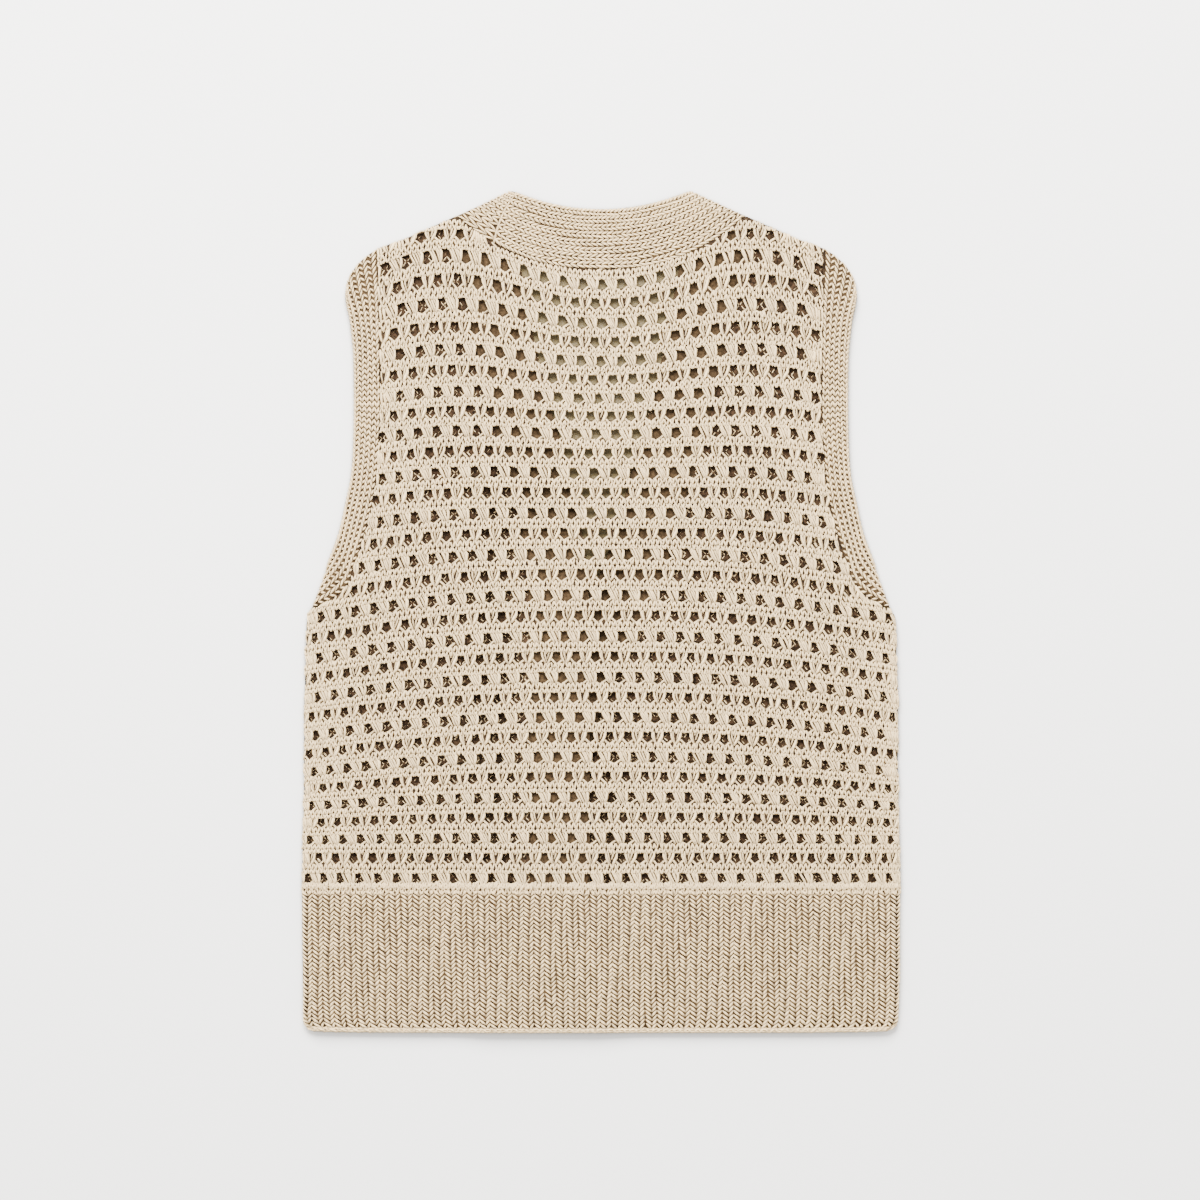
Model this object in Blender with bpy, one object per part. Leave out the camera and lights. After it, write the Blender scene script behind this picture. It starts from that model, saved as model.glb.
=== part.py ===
"""Open-knit V-neck vest with front bands, lying flat with its back upward.

X runs across the vest, Y from hem to neck and Z up, in metres.  The origin is on the
surface that the vest rests on, under the middle of its outline.  Every piece is a wall of
cloth between an outer and an inner sheet of points.  The back pieces lie over the front
pieces, and both round down to a fold at the sides and at the shoulders.
"""
import bpy
import numpy as np

COLLECTION = "open_knit_vest"
MM = 0.001

# Whole garment
LENGTH = 673.0 * MM
WALL = 2.8 * MM
GAP = 0.3 * MM
CURVED_GAP = 1.1 * MM
MIDDLE = 3.5 * MM
ROUNDING = 6.0 * MM

# Hem rib, net and bands
HEM_RIB = 116.0 * MM
RIB_PITCH = 8.88 * MM
RIB_RISE = 0.9 * MM
NET_RISE = 1.0 * MM
NET_ROWS = 31
NET_TOP_ROW = 600.0 * MM
NET_BOTTOM_ROW = 122.5 * MM
BAND_WIDTH = 48.0 * MM
BAND_RIBS = 9
ARMHOLE_RIBS = 5

# Neck and shoulders
NECK_HALF = 72.8 * MM
NECK_DROP = 15.4 * MM
NECK_SEAM_HEIGHT = 610.4 * MM
NECK_SEAM_RISE = 42.9 * MM
NECK_SEAM_POWER = 2.5
SHOULDER_SLOPE = 0.457
SHOULDER_BAND_HALF = 116.0 * MM
SHOULDER_CORNER_HALF = 163.0 * MM
SHOULDER_SEAM_HALF = 180.0 * MM
BAND_JOIN = -0.93

# Where the armhole bands fold at the two ends of the armhole
UNDERARM_END = 372.0 * MM
SHOULDER_END = 592.0 * MM
SHOULDER_BOW_FADE = 22.0 * MM
UNDERARM_BOW_FADE = 12.0 * MM

# Rise of the net rows beside the neck, and their droop towards the sides
ROW_RISE = 24.8 * MM
ROW_RISE_FADE = 76.0 * MM
ROW_RISE_X = 120.0 * MM
ROW_RISE_FALL = 0.3
ROW_DROOP_X = 224.0 * MM
ROW_DROOP_POWER = 2.2

# How the left front laps over the right front, and the back over both
LAP_LIFT = WALL + GAP
LAP_X = (-84.0 * MM, -60.0 * MM)
LAP_HEIGHT = (370.0 * MM, 450.0 * MM)
BACK_LIFT = 2.2 * MM
BACK_LIFT_X = (-120.0 * MM, -84.0 * MM)
BACK_LIFT_END_X = (-6.0 * MM, 34.0 * MM)
BACK_LIFT_HEIGHT = (420.0 * MM, 500.0 * MM)
NECK_SAG = 2.2 * MM
NECK_SAG_FLAT = 0.3
NECK_SAG_FROM = 12.0 * MM
NECK_SAG_FULL = 30.0 * MM

# Front rows: the shoulder point that their mean slope is taken at, and how late they tilt
FRONT_MEAN_X = 140.0 * MM
FRONT_TILT_POWER = 4
BAND_TILT_START = 0.93

# How finely each sheet is divided
FOLD_POINTS = 60
OUTER_COLUMNS = 9
INNER_COLUMNS = 6
BACK_OUTER_COLUMNS = (8, 2)
BACK_INNER_COLUMNS = (6, 1)
HEM_INNER_COLUMNS = 12
HEM_STEPS = np.array([0.0, 0.03, 0.08, 0.35, 0.7, 1.0]) * HEM_RIB
FRONT_LEVELS = np.concatenate([
    np.linspace(0.0, 0.38, 7), np.linspace(0.41, 0.65, 17), np.linspace(0.68, 1.0, 10),
])
EDGE_STEPS = np.array([0.0, 0.13, 0.5, 1.0]) * ROUNDING
FOLD_SHARES = np.array([1.0, 0.995, 0.98, 0.955])
NECK_SHARES = 24
BAND_HEIGHTS = np.concatenate([
    [0.0, 75.0 * MM],
    np.linspace(150.0 * MM, LENGTH - 30.0 * MM, 24),
    LENGTH - np.array([16.0, 9.0, 5.0, 2.0, 0.6]) * MM,
])
ARMHOLE_NEAR = np.array([0.0, 0.8, 3.0, 6.5, 13.0]) * MM
ARMHOLE_STEPS = 11
ARMHOLE_STEP_MARGIN = 26.0 * MM

# Outline of one half, in mm: height above the hem edge, half width
OUTLINE = (
    (0, 231), (3, 235.5), (9, 238), (30, 238.4), (105, 239.2), (137, 238.8), (197, 237.4),
    (257, 237.4), (293, 236.4), (317, 235.2), (329, 234), (341, 231.2), (353, 226),
    (365, 221.2), (377, 216), (389, 211.6), (401, 207.6), (413, 204.8), (425, 202.4),
    (437, 199.6), (449, 197.8), (473, 196.4), (500, 196), (530, 196.2), (545, 196.8),
    (557, 198), (569, 199.4), (581, 202), (592, 203.6),
)
# Rounded shoulder corner, in mm: half width, height
SHOULDER_CORNER = ((168.8, 629.5), (180.8, 624.5), (192.8, 615), (201, 604), (203.6, 592))
# Seam of the armhole band, in mm: height, half width
ARMHOLE_SEAM = (
    (338, 232), (343, 221), (352, 207), (372, 198), (396, 190), (432, 182), (470, 178.5),
    (520, 177.5), (584, 178.5), (624.8, 180),
)
# Edge of each front along its band, in mm: height, x
LEFT_FRONT_EDGE = (
    (0, -9), (300, -9), (350, -10), (392, -14), (424, -21), (464, -30), (504, -42),
    (550, -53), (598, -62), (640, -69), (673, -72.8),
)
RIGHT_FRONT_EDGE = (
    (0, -57), (190, -57), (230, -54), (270, -45), (310, -28), (350, -8), (392, 9),
    (424, 18), (464, 29), (504, 41), (550, 51), (598, 60), (640, 68), (673, 72.8),
)
# Droop of the net rows at the side, in mm: height, droop
ROW_DROOP = (
    (116, 0), (138, 0), (170, 4), (203, 9), (236, 12.8), (284, 15.6), (334, 17.6),
    (350, 17.6), (430, 12), (552, 3), (611, 0),
)

# Yarn colours
NET_YARN = (0.79, 0.70, 0.54, 1.0)
RIB_YARN = (0.72, 0.62, 0.46, 1.0)
ROUGHNESS = 0.9


def smooth(value, start, end):
    """Ramp from 0 at start to 1 at end with a soft start and finish."""
    t = np.clip((value - start) / (end - start), 0.0, 1.0)
    return t * t * (3.0 - 2.0 * t)


def curve(rows):
    """Smooth function through rows of two columns in mm, with no overshoot."""
    x, y = (np.array(column, float) * MM for column in zip(*rows))
    step, slope = np.diff(x), np.diff(y) / np.diff(x)
    tangent = np.concatenate([slope[:1], (slope[:-1] + slope[1:]) / 2, slope[-1:]])
    turning = np.concatenate([[False], slope[:-1] * slope[1:] <= 0, [False]])
    tangent[turning] = 0.0
    limit = 3.0 * np.minimum(np.abs(np.append(slope, slope[-1])), np.abs(np.insert(slope, 0, slope[0])))
    tangent = np.clip(tangent, -limit, limit)

    def value(q):
        q = np.clip(q, x[0], x[-1])
        i = np.clip(np.searchsorted(x, q) - 1, 0, len(step) - 1)
        t = (q - x[i]) / step[i]
        return (
            (1 + 2 * t) * (1 - t) ** 2 * y[i] + t * (1 - t) ** 2 * step[i] * tangent[i]
            + t * t * (3 - 2 * t) * y[i + 1] + t * t * (t - 1) * step[i] * tangent[i + 1]
        )

    return value


half_width = curve(OUTLINE)
armhole_seam = curve(ARMHOLE_SEAM)
left_edge = curve(LEFT_FRONT_EDGE)
right_edge = curve(RIGHT_FRONT_EDGE)
row_droop = curve(ROW_DROOP)


def shoulder_height(x):
    """Height of the shoulder fold at x."""
    return LENGTH - (np.abs(x) - NECK_HALF) * SHOULDER_SLOPE


def neck_edge_height(x):
    """Height of the upper edge of the back neck band at x."""
    return LENGTH - NECK_DROP * (1.0 - (x / NECK_HALF) ** 2)


def neck_seam_height(x):
    """Height of the seam between the back neck band and the net at x."""
    rise = (np.abs(x) / SHOULDER_BAND_HALF) ** NECK_SEAM_POWER
    return NECK_SEAM_HEIGHT + NECK_SEAM_RISE * rise


def sample(line, shares):
    """Points at shares of the length of a line of points."""
    run = np.insert(np.cumsum(np.linalg.norm(np.diff(line, axis=0), axis=1)), 0, 0.0)
    return np.column_stack([np.interp(shares * run[-1], run, line[:, k]) for k in range(2)])


def side_fold():
    """Line of the side fold, from the hem to the end of the armhole band's fold."""
    heights = np.linspace(0.0, UNDERARM_END, FOLD_POINTS)
    return np.column_stack([half_width(heights), heights])


def shoulder_fold():
    """Line of the shoulder fold, from the neck to the outer end of the armhole band."""
    x = np.linspace(NECK_HALF, SHOULDER_CORNER_HALF, 14)
    straight = np.column_stack([x, shoulder_height(x)])
    corner = np.vstack([straight[-1], np.array(SHOULDER_CORNER) * MM])
    return np.vstack([straight, sample(corner, np.linspace(0.0, 1.0, 12))[1:]])


FOLDS = (side_fold()[::-1], shoulder_fold()[::-1])


def fold_distance(x, h):
    """Distance from plan points to the nearest fold, and the way inward from it."""
    side = np.where(x < 0, -1.0, 1.0)
    p = np.stack([np.abs(x), h], axis=-1)
    best = np.full(x.shape, np.inf)
    inward = np.zeros(p.shape)
    for line in FOLDS:
        for a, b in zip(line[:-1], line[1:]):
            run = b - a
            t = np.clip(((p - a) @ run) / (run @ run), 0.0, 1.0)
            away = p - (a + t[..., None] * run)
            d = np.linalg.norm(away, axis=-1)
            across = np.array([run[1], -run[0]]) / np.linalg.norm(run)
            if across @ (np.array([0.0, LENGTH / 2]) - a) < 0:
                across = -across
            near = d < best
            way = np.where((d > GAP)[..., None], away / np.maximum(d, 1e-9)[..., None], across)
            inward = np.where(near[..., None], way, inward)
            best = np.where(near, d, best)
    inward[..., 0] *= side
    return best, inward


def neck_half(h):
    """Half width of the V opening at a height, 0 below its point."""
    return np.maximum(0.0, np.minimum(-left_edge(h), right_edge(h)))


def back_lift(x, h):
    """Rise of the back over the lapped bands, less its sag into the V opening."""
    over = smooth(x, *BACK_LIFT_X) * (1.0 - smooth(x, *BACK_LIFT_END_X))
    over = over * (1.0 - smooth(h, *BACK_LIFT_HEIGHT))
    opening = np.maximum(neck_half(h) - ROUNDING, GAP)
    sag = 1.0 - smooth(np.abs(x), NECK_SAG_FLAT * opening, opening)
    sag = sag * smooth(opening, NECK_SAG_FROM, NECK_SAG_FULL)
    return BACK_LIFT * over - NECK_SAG * sag


def lap_lift(x, h):
    """Rise of the left front where its band laps over the right band."""
    return LAP_LIFT * smooth(x, *LAP_X) * (1.0 - smooth(h, *LAP_HEIGHT))


def lay(x, h, back=True, inner=False, relief=0.0, lift=None):
    """Point in space of plan points on the back or front layer.

    The layer's outer sheet rounds down to the fold as a quarter ellipse, and its inner
    sheet lies one wall inside it.
    """
    d, inward = fold_distance(x, h)
    cosine = np.clip(1.0 - d / ROUNDING, 0.0, 1.0)
    sine = np.sqrt(1.0 - cosine ** 2)
    rise = MIDDLE + (back_lift(x, h) if back else 0.0)
    z = (rise - (WALL if inner else 0.0)) * sine
    shift = WALL * cosine if inner else 0.0 * cosine
    px = x + inward[..., 0] * shift
    py = h + inward[..., 1] * shift
    z = MIDDLE + z + relief * sine if back else MIDDLE - z
    if lift is not None:
        z = z + lift(x, h)
    return np.stack([px, py - LENGTH / 2, z], axis=-1)


def part_at_fold(points, back):
    """Keep half a seam's gap between a back piece and the front piece under its fold."""
    z = points[..., 2]
    points[..., 2] = np.maximum(z, MIDDLE + GAP / 2) if back else np.minimum(z, MIDDLE - GAP / 2)
    return points


def zipper(first, second):
    """Triangles between two lines of point numbers that run side by side."""
    faces, i, j = [], 0, 0
    while i < len(first) - 1 or j < len(second) - 1:
        ahead = (i + 1) / max(len(first) - 1, 1) <= (j + 1) / max(len(second) - 1, 1)
        if j == len(second) - 1 or (i < len(first) - 1 and ahead):
            faces.append((first[i], first[i + 1], second[j]))
            i += 1
        else:
            faces.append((first[i], second[j + 1], second[j]))
            j += 1
    return faces


def wall(name, outer, inner, colour, closed=False):
    """One closed solid between an outer and an inner sheet with equally many rows."""
    rows, wide, narrow = outer.shape[0], outer.shape[1], inner.shape[1]
    points = np.vstack([outer.reshape(-1, 3), inner.reshape(-1, 3)])
    top = np.arange(rows * wide).reshape(rows, wide)
    low = rows * wide + np.arange(rows * narrow).reshape(rows, narrow)
    faces = []
    for r in range(rows if closed else rows - 1):
        n = (r + 1) % rows
        faces += [(top[r, c], top[r, c + 1], top[n, c + 1], top[n, c]) for c in range(wide - 1)]
        faces += [(low[r, c], low[n, c], low[n, c + 1], low[r, c + 1]) for c in range(narrow - 1)]
        faces.append((top[r, 0], top[n, 0], low[n, 0], low[r, 0]))
        faces.append((top[r, -1], low[r, -1], low[n, -1], top[n, -1]))
    if not closed:
        faces += [f[::-1] for f in zipper(list(top[0]), list(low[0]))]
        faces += zipper(list(top[-1]), list(low[-1]))
    mesh = bpy.data.meshes.new(name)
    mesh.from_pydata([tuple(p) for p in points], [], [tuple(int(i) for i in f) for f in faces])
    mesh.validate()
    turn_outward(mesh)
    mesh.materials.append(yarn(colour))
    thing = bpy.data.objects.new(name, mesh)
    bpy.data.collections[COLLECTION].objects.link(thing)
    return thing


def turn_outward(mesh):
    """Flip every face when the mesh's volume comes out negative."""
    mesh.calc_loop_triangles()
    p = np.array([v.co for v in mesh.vertices])
    t = np.array([triangle.vertices for triangle in mesh.loop_triangles])
    a, b, c = p[t[:, 0]], p[t[:, 1]], p[t[:, 2]]
    if np.einsum("ij,ij->i", a, np.cross(b, c)).sum() < 0:
        mesh.flip_normals()


def yarn(colour):
    """Matt cotton yarn of a colour, shared by the pieces that have it."""
    name = "yarn_rib" if colour == RIB_YARN else "yarn_net"
    material = bpy.data.materials.get(name)
    if material is None:
        material = bpy.data.materials.new(name)
        material.use_nodes = True
        shader = material.node_tree.nodes["Principled BSDF"]
        shader.inputs["Base Color"].default_value = colour
        shader.inputs["Roughness"].default_value = ROUGHNESS
    return material


def across(start, end, between):
    """Places from start to end, close together within the rounding at each end."""
    middle = np.linspace(start + ROUNDING, end - ROUNDING, between + 2)[1:-1]
    return np.concatenate([start + EDGE_STEPS, middle, (end - EDGE_STEPS)[::-1]])


def across_back(end, columns):
    """Places across the back, with one where the neck seam meets the shoulder."""
    to_corner, to_side = columns
    corner = SHOULDER_BAND_HALF / SHOULDER_SEAM_HALF * end
    half = np.concatenate([
        np.linspace(0.0, corner, to_corner + 1)[1:],
        np.linspace(corner, end - ROUNDING, to_side + 2)[1:-1],
        (end - EDGE_STEPS)[::-1],
    ])
    return np.concatenate([-half[::-1], [0.0], half])


def row_end(height, limit, sign, start):
    """Where a row of the net, a height as a function of x, meets a limiting edge."""
    x = start
    for _ in range(60):
        x = 0.5 * x + 0.5 * limit(height(x))
    return sign * x


def panel_limit(h):
    """Half width of the net at a height: the side fold, or the armhole seam above it."""
    underarm = ARMHOLE_SEAM[0][0] * MM
    return np.where(h < underarm, np.minimum(half_width(h), ARMHOLE_SEAM[0][1] * MM
                    + (underarm - h)), armhole_seam(h) - CURVED_GAP)


def row_height(level, x):
    """Height at x of the net row that crosses the middle of the back at level."""
    size = np.abs(x)
    rise = ROW_RISE * np.exp(-(NET_TOP_ROW - level) / ROW_RISE_FADE)
    swell = (1.0 - np.cos(np.pi * np.minimum(size / ROW_RISE_X, 1.0))) / 2.0
    beyond = np.maximum(size - ROW_RISE_X, 0.0) / (SHOULDER_SEAM_HALF - ROW_RISE_X)
    swell = swell - ROW_RISE_FALL * beyond ** 2
    droop = row_droop(level) * (size / ROW_DROOP_X) ** ROW_DROOP_POWER
    height = level + rise * np.maximum(swell, 0.0) - droop
    edge = np.minimum(neck_seam_height(x), shoulder_height(x)) - CURVED_GAP
    share = np.clip((level - NET_TOP_ROW) / (NECK_SEAM_HEIGHT - NET_TOP_ROW), 0.0, 1.0)
    return height + share * (edge - height)


def back_panel():
    """Open net of the back, with its hole rows as grooves between raised bands."""
    pitch = (NET_TOP_ROW - NET_BOTTOM_ROW) / (NET_ROWS - 1)
    grooves = NET_BOTTOM_ROW + pitch * np.arange(NET_ROWS)
    ridges = grooves[:-1] + pitch / 2
    ends = [HEM_RIB + GAP, NECK_SEAM_HEIGHT - CURVED_GAP]
    levels = np.sort(np.concatenate([grooves, ridges, ends]))
    outer, inner = [], []
    for level in levels:
        def height(x, level=level):
            top = np.minimum(neck_seam_height(x) - CURVED_GAP, shoulder_height(x))
            return np.minimum(row_height(level, x), top)
        end = row_end(height, panel_limit, 1.0, SHOULDER_SEAM_HALF)
        relief = NET_RISE if level in ridges else 0.0
        x = across_back(end, BACK_OUTER_COLUMNS)
        outer.append(part_at_fold(lay(x, height(x), relief=relief), True))
        x = across_back(end, BACK_INNER_COLUMNS)
        inner.append(part_at_fold(lay(x, height(x), inner=True), True))
    return wall("back_panel", np.array(outer), np.array(inner), NET_YARN)


def back_hem_rib():
    """Ribbed hem of the back, its ribs raised side by side."""
    columns = int(2 * half_width(HEM_RIB / 2) / RIB_PITCH)
    ends = np.linspace(-columns / 2, columns / 2, 2 * columns + 1)
    outer, inner = [], []
    for h in HEM_STEPS:
        end = half_width(h)
        x = ends / (columns / 2) * end
        relief = RIB_RISE * (np.arange(len(x)) % 2)
        outer.append(part_at_fold(lay(x, np.full(x.shape, h), relief=relief), True))
        x = across(-end, end, HEM_INNER_COLUMNS)
        inner.append(part_at_fold(lay(x, np.full(x.shape, h), inner=True), True))
    return wall("back_hem_rib", np.array(outer), np.array(inner), RIB_YARN)


def band_line(edge, sign, heights):
    """Inner and outer edge of a front band at each height, square to its run."""
    x = edge(heights)
    step = 1.0 * MM
    slope = (edge(heights + step) - edge(heights - step)) / (2 * step)
    tilt = np.arctan(np.abs(slope))
    shoulder = np.arctan(SHOULDER_SLOPE)
    tilt = tilt + (shoulder - tilt) * smooth(heights, BAND_TILT_START * LENGTH, LENGTH)
    inner_line = np.column_stack([x, heights])
    outward = np.column_stack([sign * np.cos(tilt), -np.sin(tilt)]) * BAND_WIDTH
    return inner_line, inner_line + outward


def front_band_rows(edge, sign, steps, inner, lift):
    """Rows of one front band from the hem up to just below the shoulder fold."""
    near, far = band_line(edge, sign, BAND_HEIGHTS)
    rows = []
    for a, b in zip(near, far):
        p = a + steps[:, None] * (b - a)
        rows.append(lay(p[:, 0], p[:, 1], back=False, inner=inner, lift=lift))
    return rows


def neck_rows(shares, steps, inner):
    """Rows of the back neck band at shares of its half length, from -1 to 1."""
    ribbed = steps.size > 3
    rows = []
    for share in shares:
        a = np.array([share * NECK_HALF, neck_edge_height(share * NECK_HALF)])
        b = np.array([share * SHOULDER_BAND_HALF, neck_seam_height(share * SHOULDER_BAND_HALF)])
        p = a + steps[:, None] * (b - a)
        relief = RIB_RISE * (np.arange(steps.size) % 2) if ribbed else 0.0
        rows.append(lay(p[:, 0], p[:, 1], inner=inner, relief=relief))
    return rows


def neck_band(name, edge, sign, shares, lift):
    """Band from one front's hem, over the shoulder and along the back of the neck."""
    ribs = np.linspace(0.0, 1.0, 2 * BAND_RIBS + 1)
    plain = np.linspace(0.0, 1.0, 3)
    sheets = []
    for steps, inner in ((ribs, False), (plain, True)):
        rows = front_band_rows(edge, sign, steps, inner, lift) + neck_rows(shares, steps, inner)
        sheets.append(np.array(rows))
    return wall(name, *sheets, RIB_YARN)


def right_neck_band():
    """Right front band with the whole back neck band."""
    rest = np.linspace(0.9, BAND_JOIN + GAP / NECK_HALF, NECK_SHARES)
    shares = np.concatenate([FOLD_SHARES, rest])
    return neck_band("right_front_and_neck_band", right_edge, 1.0, shares, None)


def left_neck_band():
    """Left front band, which meets the neck band behind the left shoulder."""
    shares = np.append(-FOLD_SHARES, BAND_JOIN - GAP / NECK_HALF)
    return neck_band("left_front_band", left_edge, -1.0, shares, lap_lift)


def front_panel(name, edge, sign, lift):
    """Net of one front, from its side fold to the seam of its band."""
    _, seam = band_line(edge, sign, np.linspace(0.0, LENGTH, 200))

    def seam_x(h):
        return np.interp(h, seam[:, 1], seam[:, 0]) + sign * CURVED_GAP

    outer, inner = [], []
    mean = shoulder_height(FRONT_MEAN_X)
    for v in FRONT_LEVELS:
        def height(x, v=v):
            tilt = v ** FRONT_TILT_POWER * (shoulder_height(x) - mean)
            return HEM_RIB + GAP + v * (mean - HEM_RIB - GAP) + tilt
        side = row_end(height, panel_limit, 1.0, SHOULDER_SEAM_HALF)
        close = seam_x(mean * v)
        for _ in range(30):
            close = 0.5 * close + 0.5 * seam_x(height(close))
        ends = sorted((sign * side, close))
        for rows, inside, between in ((outer, False, OUTER_COLUMNS), (inner, True, INNER_COLUMNS)):
            x = across(*ends, between)
            rows.append(part_at_fold(lay(x, height(x), False, inside, lift=lift), False))
    return wall(name, np.array(outer), np.array(inner), NET_YARN)


def front_hem_rib(name, edge, sign, lift):
    """Ribbed hem of one front, from its side fold to the seam of its band."""
    outer, inner = [], []
    for h in HEM_STEPS:
        seam = edge(h) + sign * (BAND_WIDTH + GAP)
        ends = sorted((sign * half_width(h), seam))
        for rows, inside, between in ((outer, False, OUTER_COLUMNS), (inner, True, INNER_COLUMNS)):
            x = across(*ends, between)
            rows.append(part_at_fold(lay(x, np.full(x.shape, h), False, inside, lift=lift), False))
    return wall(name, np.array(outer), np.array(inner), RIB_YARN)


def armhole_band(name, sign):
    """Band all round one armhole, folded over the shoulder and under the arm."""
    heights = np.linspace(SHOULDER_END, UNDERARM_END, FOLD_POINTS)
    rim = np.column_stack([half_width(heights), heights])
    heights = np.linspace(ARMHOLE_SEAM[-1][0], ARMHOLE_SEAM[0][0], FOLD_POINTS) * MM
    seam = np.column_stack([armhole_seam(heights), heights])
    shoulder = shoulder_fold()
    shoulder = shoulder[shoulder[:, 0] >= SHOULDER_SEAM_HALF - MM]
    underarm = side_fold()
    underarm = underarm[underarm[:, 1] >= ARMHOLE_SEAM[0][0] * MM]
    count = 2 * ARMHOLE_RIBS + 1
    steps = np.linspace(0.0, 1.0, count)
    bow_top = sample(shoulder, steps)
    bow_low = sample(underarm, steps)
    steps = steps[:, None]
    bow_top = bow_top - (bow_top[0] + steps * (bow_top[-1] - bow_top[0]))
    bow_low = bow_low - (bow_low[0] + steps * (bow_low[-1] - bow_low[0]))
    run = np.linalg.norm(np.diff(rim, axis=0), axis=1).sum()
    middle = np.linspace(ARMHOLE_STEP_MARGIN, run - ARMHOLE_STEP_MARGIN, ARMHOLE_STEPS)
    far = np.concatenate([ARMHOLE_NEAR, middle, run - ARMHOLE_NEAR[::-1]]) / run
    rim_points = sample(rim, far)
    seam_points = sample(seam, far)
    plans = []
    for t, a, b in zip(far, seam_points, rim_points):
        top = np.exp(-((t * run / SHOULDER_BOW_FADE) ** 2))
        low = np.exp(-(((1 - t) * run / UNDERARM_BOW_FADE) ** 2))
        plans.append(a + steps * (b - a) + top * bow_top + low * bow_low)
    sheets = []
    for inner in (False, True):
        rows = []
        for back, order in ((True, plans), (False, plans[-2:0:-1])):
            for plan in order:
                plan = plan[::ARMHOLE_RIBS] if inner else plan
                relief = RIB_RISE * (np.arange(len(plan)) % 2) if not inner else 0.0
                rows.append(lay(sign * plan[:, 0], plan[:, 1], back, inner, relief))
        sheets.append(np.array(rows))
    return wall(name, *sheets, RIB_YARN, closed=True)


def main():
    """Build every piece of the vest."""
    for thing in list(bpy.data.objects):
        bpy.data.objects.remove(thing)
    collection = bpy.data.collections.new(COLLECTION)
    bpy.context.scene.collection.children.link(collection)
    back_panel()
    back_hem_rib()
    front_panel("left_front_panel", left_edge, -1.0, lap_lift)
    front_panel("right_front_panel", right_edge, 1.0, None)
    front_hem_rib("left_front_hem_rib", left_edge, -1.0, lap_lift)
    front_hem_rib("right_front_hem_rib", right_edge, 1.0, None)
    left_neck_band()
    right_neck_band()
    armhole_band("left_armhole_band", -1.0)
    armhole_band("right_armhole_band", 1.0)


main()
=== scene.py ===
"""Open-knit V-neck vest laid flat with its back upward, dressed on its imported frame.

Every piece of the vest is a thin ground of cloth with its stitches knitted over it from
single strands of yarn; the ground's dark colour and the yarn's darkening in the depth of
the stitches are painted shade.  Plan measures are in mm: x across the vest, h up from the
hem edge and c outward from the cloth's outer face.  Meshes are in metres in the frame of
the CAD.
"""

import logging
import math
from collections.abc import Callable, Sequence
from dataclasses import dataclass, field
from enum import Enum

import bpy
import numpy as np
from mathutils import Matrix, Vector

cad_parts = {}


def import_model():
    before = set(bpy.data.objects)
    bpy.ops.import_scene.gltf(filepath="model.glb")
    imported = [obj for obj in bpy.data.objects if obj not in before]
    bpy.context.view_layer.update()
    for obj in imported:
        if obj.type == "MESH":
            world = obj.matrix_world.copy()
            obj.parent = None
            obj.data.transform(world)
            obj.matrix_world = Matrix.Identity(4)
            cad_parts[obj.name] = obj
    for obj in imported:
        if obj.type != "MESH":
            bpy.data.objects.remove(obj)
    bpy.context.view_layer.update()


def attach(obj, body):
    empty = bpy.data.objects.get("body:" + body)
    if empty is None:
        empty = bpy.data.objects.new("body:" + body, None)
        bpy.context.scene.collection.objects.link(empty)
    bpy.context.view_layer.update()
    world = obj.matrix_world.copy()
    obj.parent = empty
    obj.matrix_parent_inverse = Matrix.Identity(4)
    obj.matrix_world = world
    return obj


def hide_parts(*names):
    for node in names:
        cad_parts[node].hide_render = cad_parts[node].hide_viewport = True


MM = 0.001
BODY = "root"
log = logging.getLogger("vest")


class Layer(Enum):
    """Which layer of the folded vest a piece of cloth is in."""

    BACK = "back"
    FRONT = "front"


class Slot(Enum):
    """Material slot of the record that a piece takes its finish from."""

    NET = "net_knit"
    RIB = "rib_knit"


Line = Callable[[np.ndarray], np.ndarray]
Plan = Callable[[np.ndarray, np.ndarray], tuple[np.ndarray, np.ndarray]]


def smooth(value: np.ndarray, start: float, end: float | np.ndarray) -> np.ndarray:
    """Ramp from 0 at start to 1 at end with a soft start and finish.

    Args:
        value: Numbers to ramp.
        start: Number where the ramp leaves 0.
        end: Number where the ramp reaches 1.

    Returns:
        The ramp at each number.
    """
    t = np.clip((value - start) / (end - start), 0.0, 1.0)
    return t * t * (3.0 - 2.0 * t)


def curve(rows: Sequence[tuple[float, float]]) -> Line:
    """Smooth function through rows of two columns, with no overshoot.

    Args:
        rows: Pairs of a place and the value there.

    Returns:
        The function, which holds its end values outside its places.
    """
    x, y = (np.array(column, float) for column in zip(*rows))
    step, slope = np.diff(x), np.diff(y) / np.diff(x)
    tangent = np.concatenate([slope[:1], (slope[:-1] + slope[1:]) / 2, slope[-1:]])
    turning = np.concatenate([[False], slope[:-1] * slope[1:] <= 0, [False]])
    tangent[turning] = 0.0
    size = np.abs(slope)
    limit = 3.0 * np.minimum(np.append(size, size[-1]), np.insert(size, 0, size[0]))
    tangent = np.clip(tangent, -limit, limit)

    def value(q: np.ndarray) -> np.ndarray:
        """Value at each place."""
        q = np.clip(q, x[0], x[-1])
        i = np.clip(np.searchsorted(x, q) - 1, 0, len(step) - 1)
        t = (q - x[i]) / step[i]
        return (
            (1 + 2 * t) * (1 - t) ** 2 * y[i] + t * (1 - t) ** 2 * step[i] * tangent[i]
            + t * t * (3 - 2 * t) * y[i + 1] + t * t * (t - 1) * step[i] * tangent[i + 1]
        )

    return value


def sample(line: np.ndarray, shares: np.ndarray) -> np.ndarray:
    """Points at shares of the length of a line of plan points.

    Args:
        line: The line's points, one a row.
        shares: Shares of its length, from 0 to 1.

    Returns:
        One point for each share.
    """
    run = np.insert(np.cumsum(np.linalg.norm(np.diff(line, axis=0), axis=1)), 0, 0.0)
    return np.stack([np.interp(shares * run[-1], run, line[:, k]) for k in range(2)], axis=-1)


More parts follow.
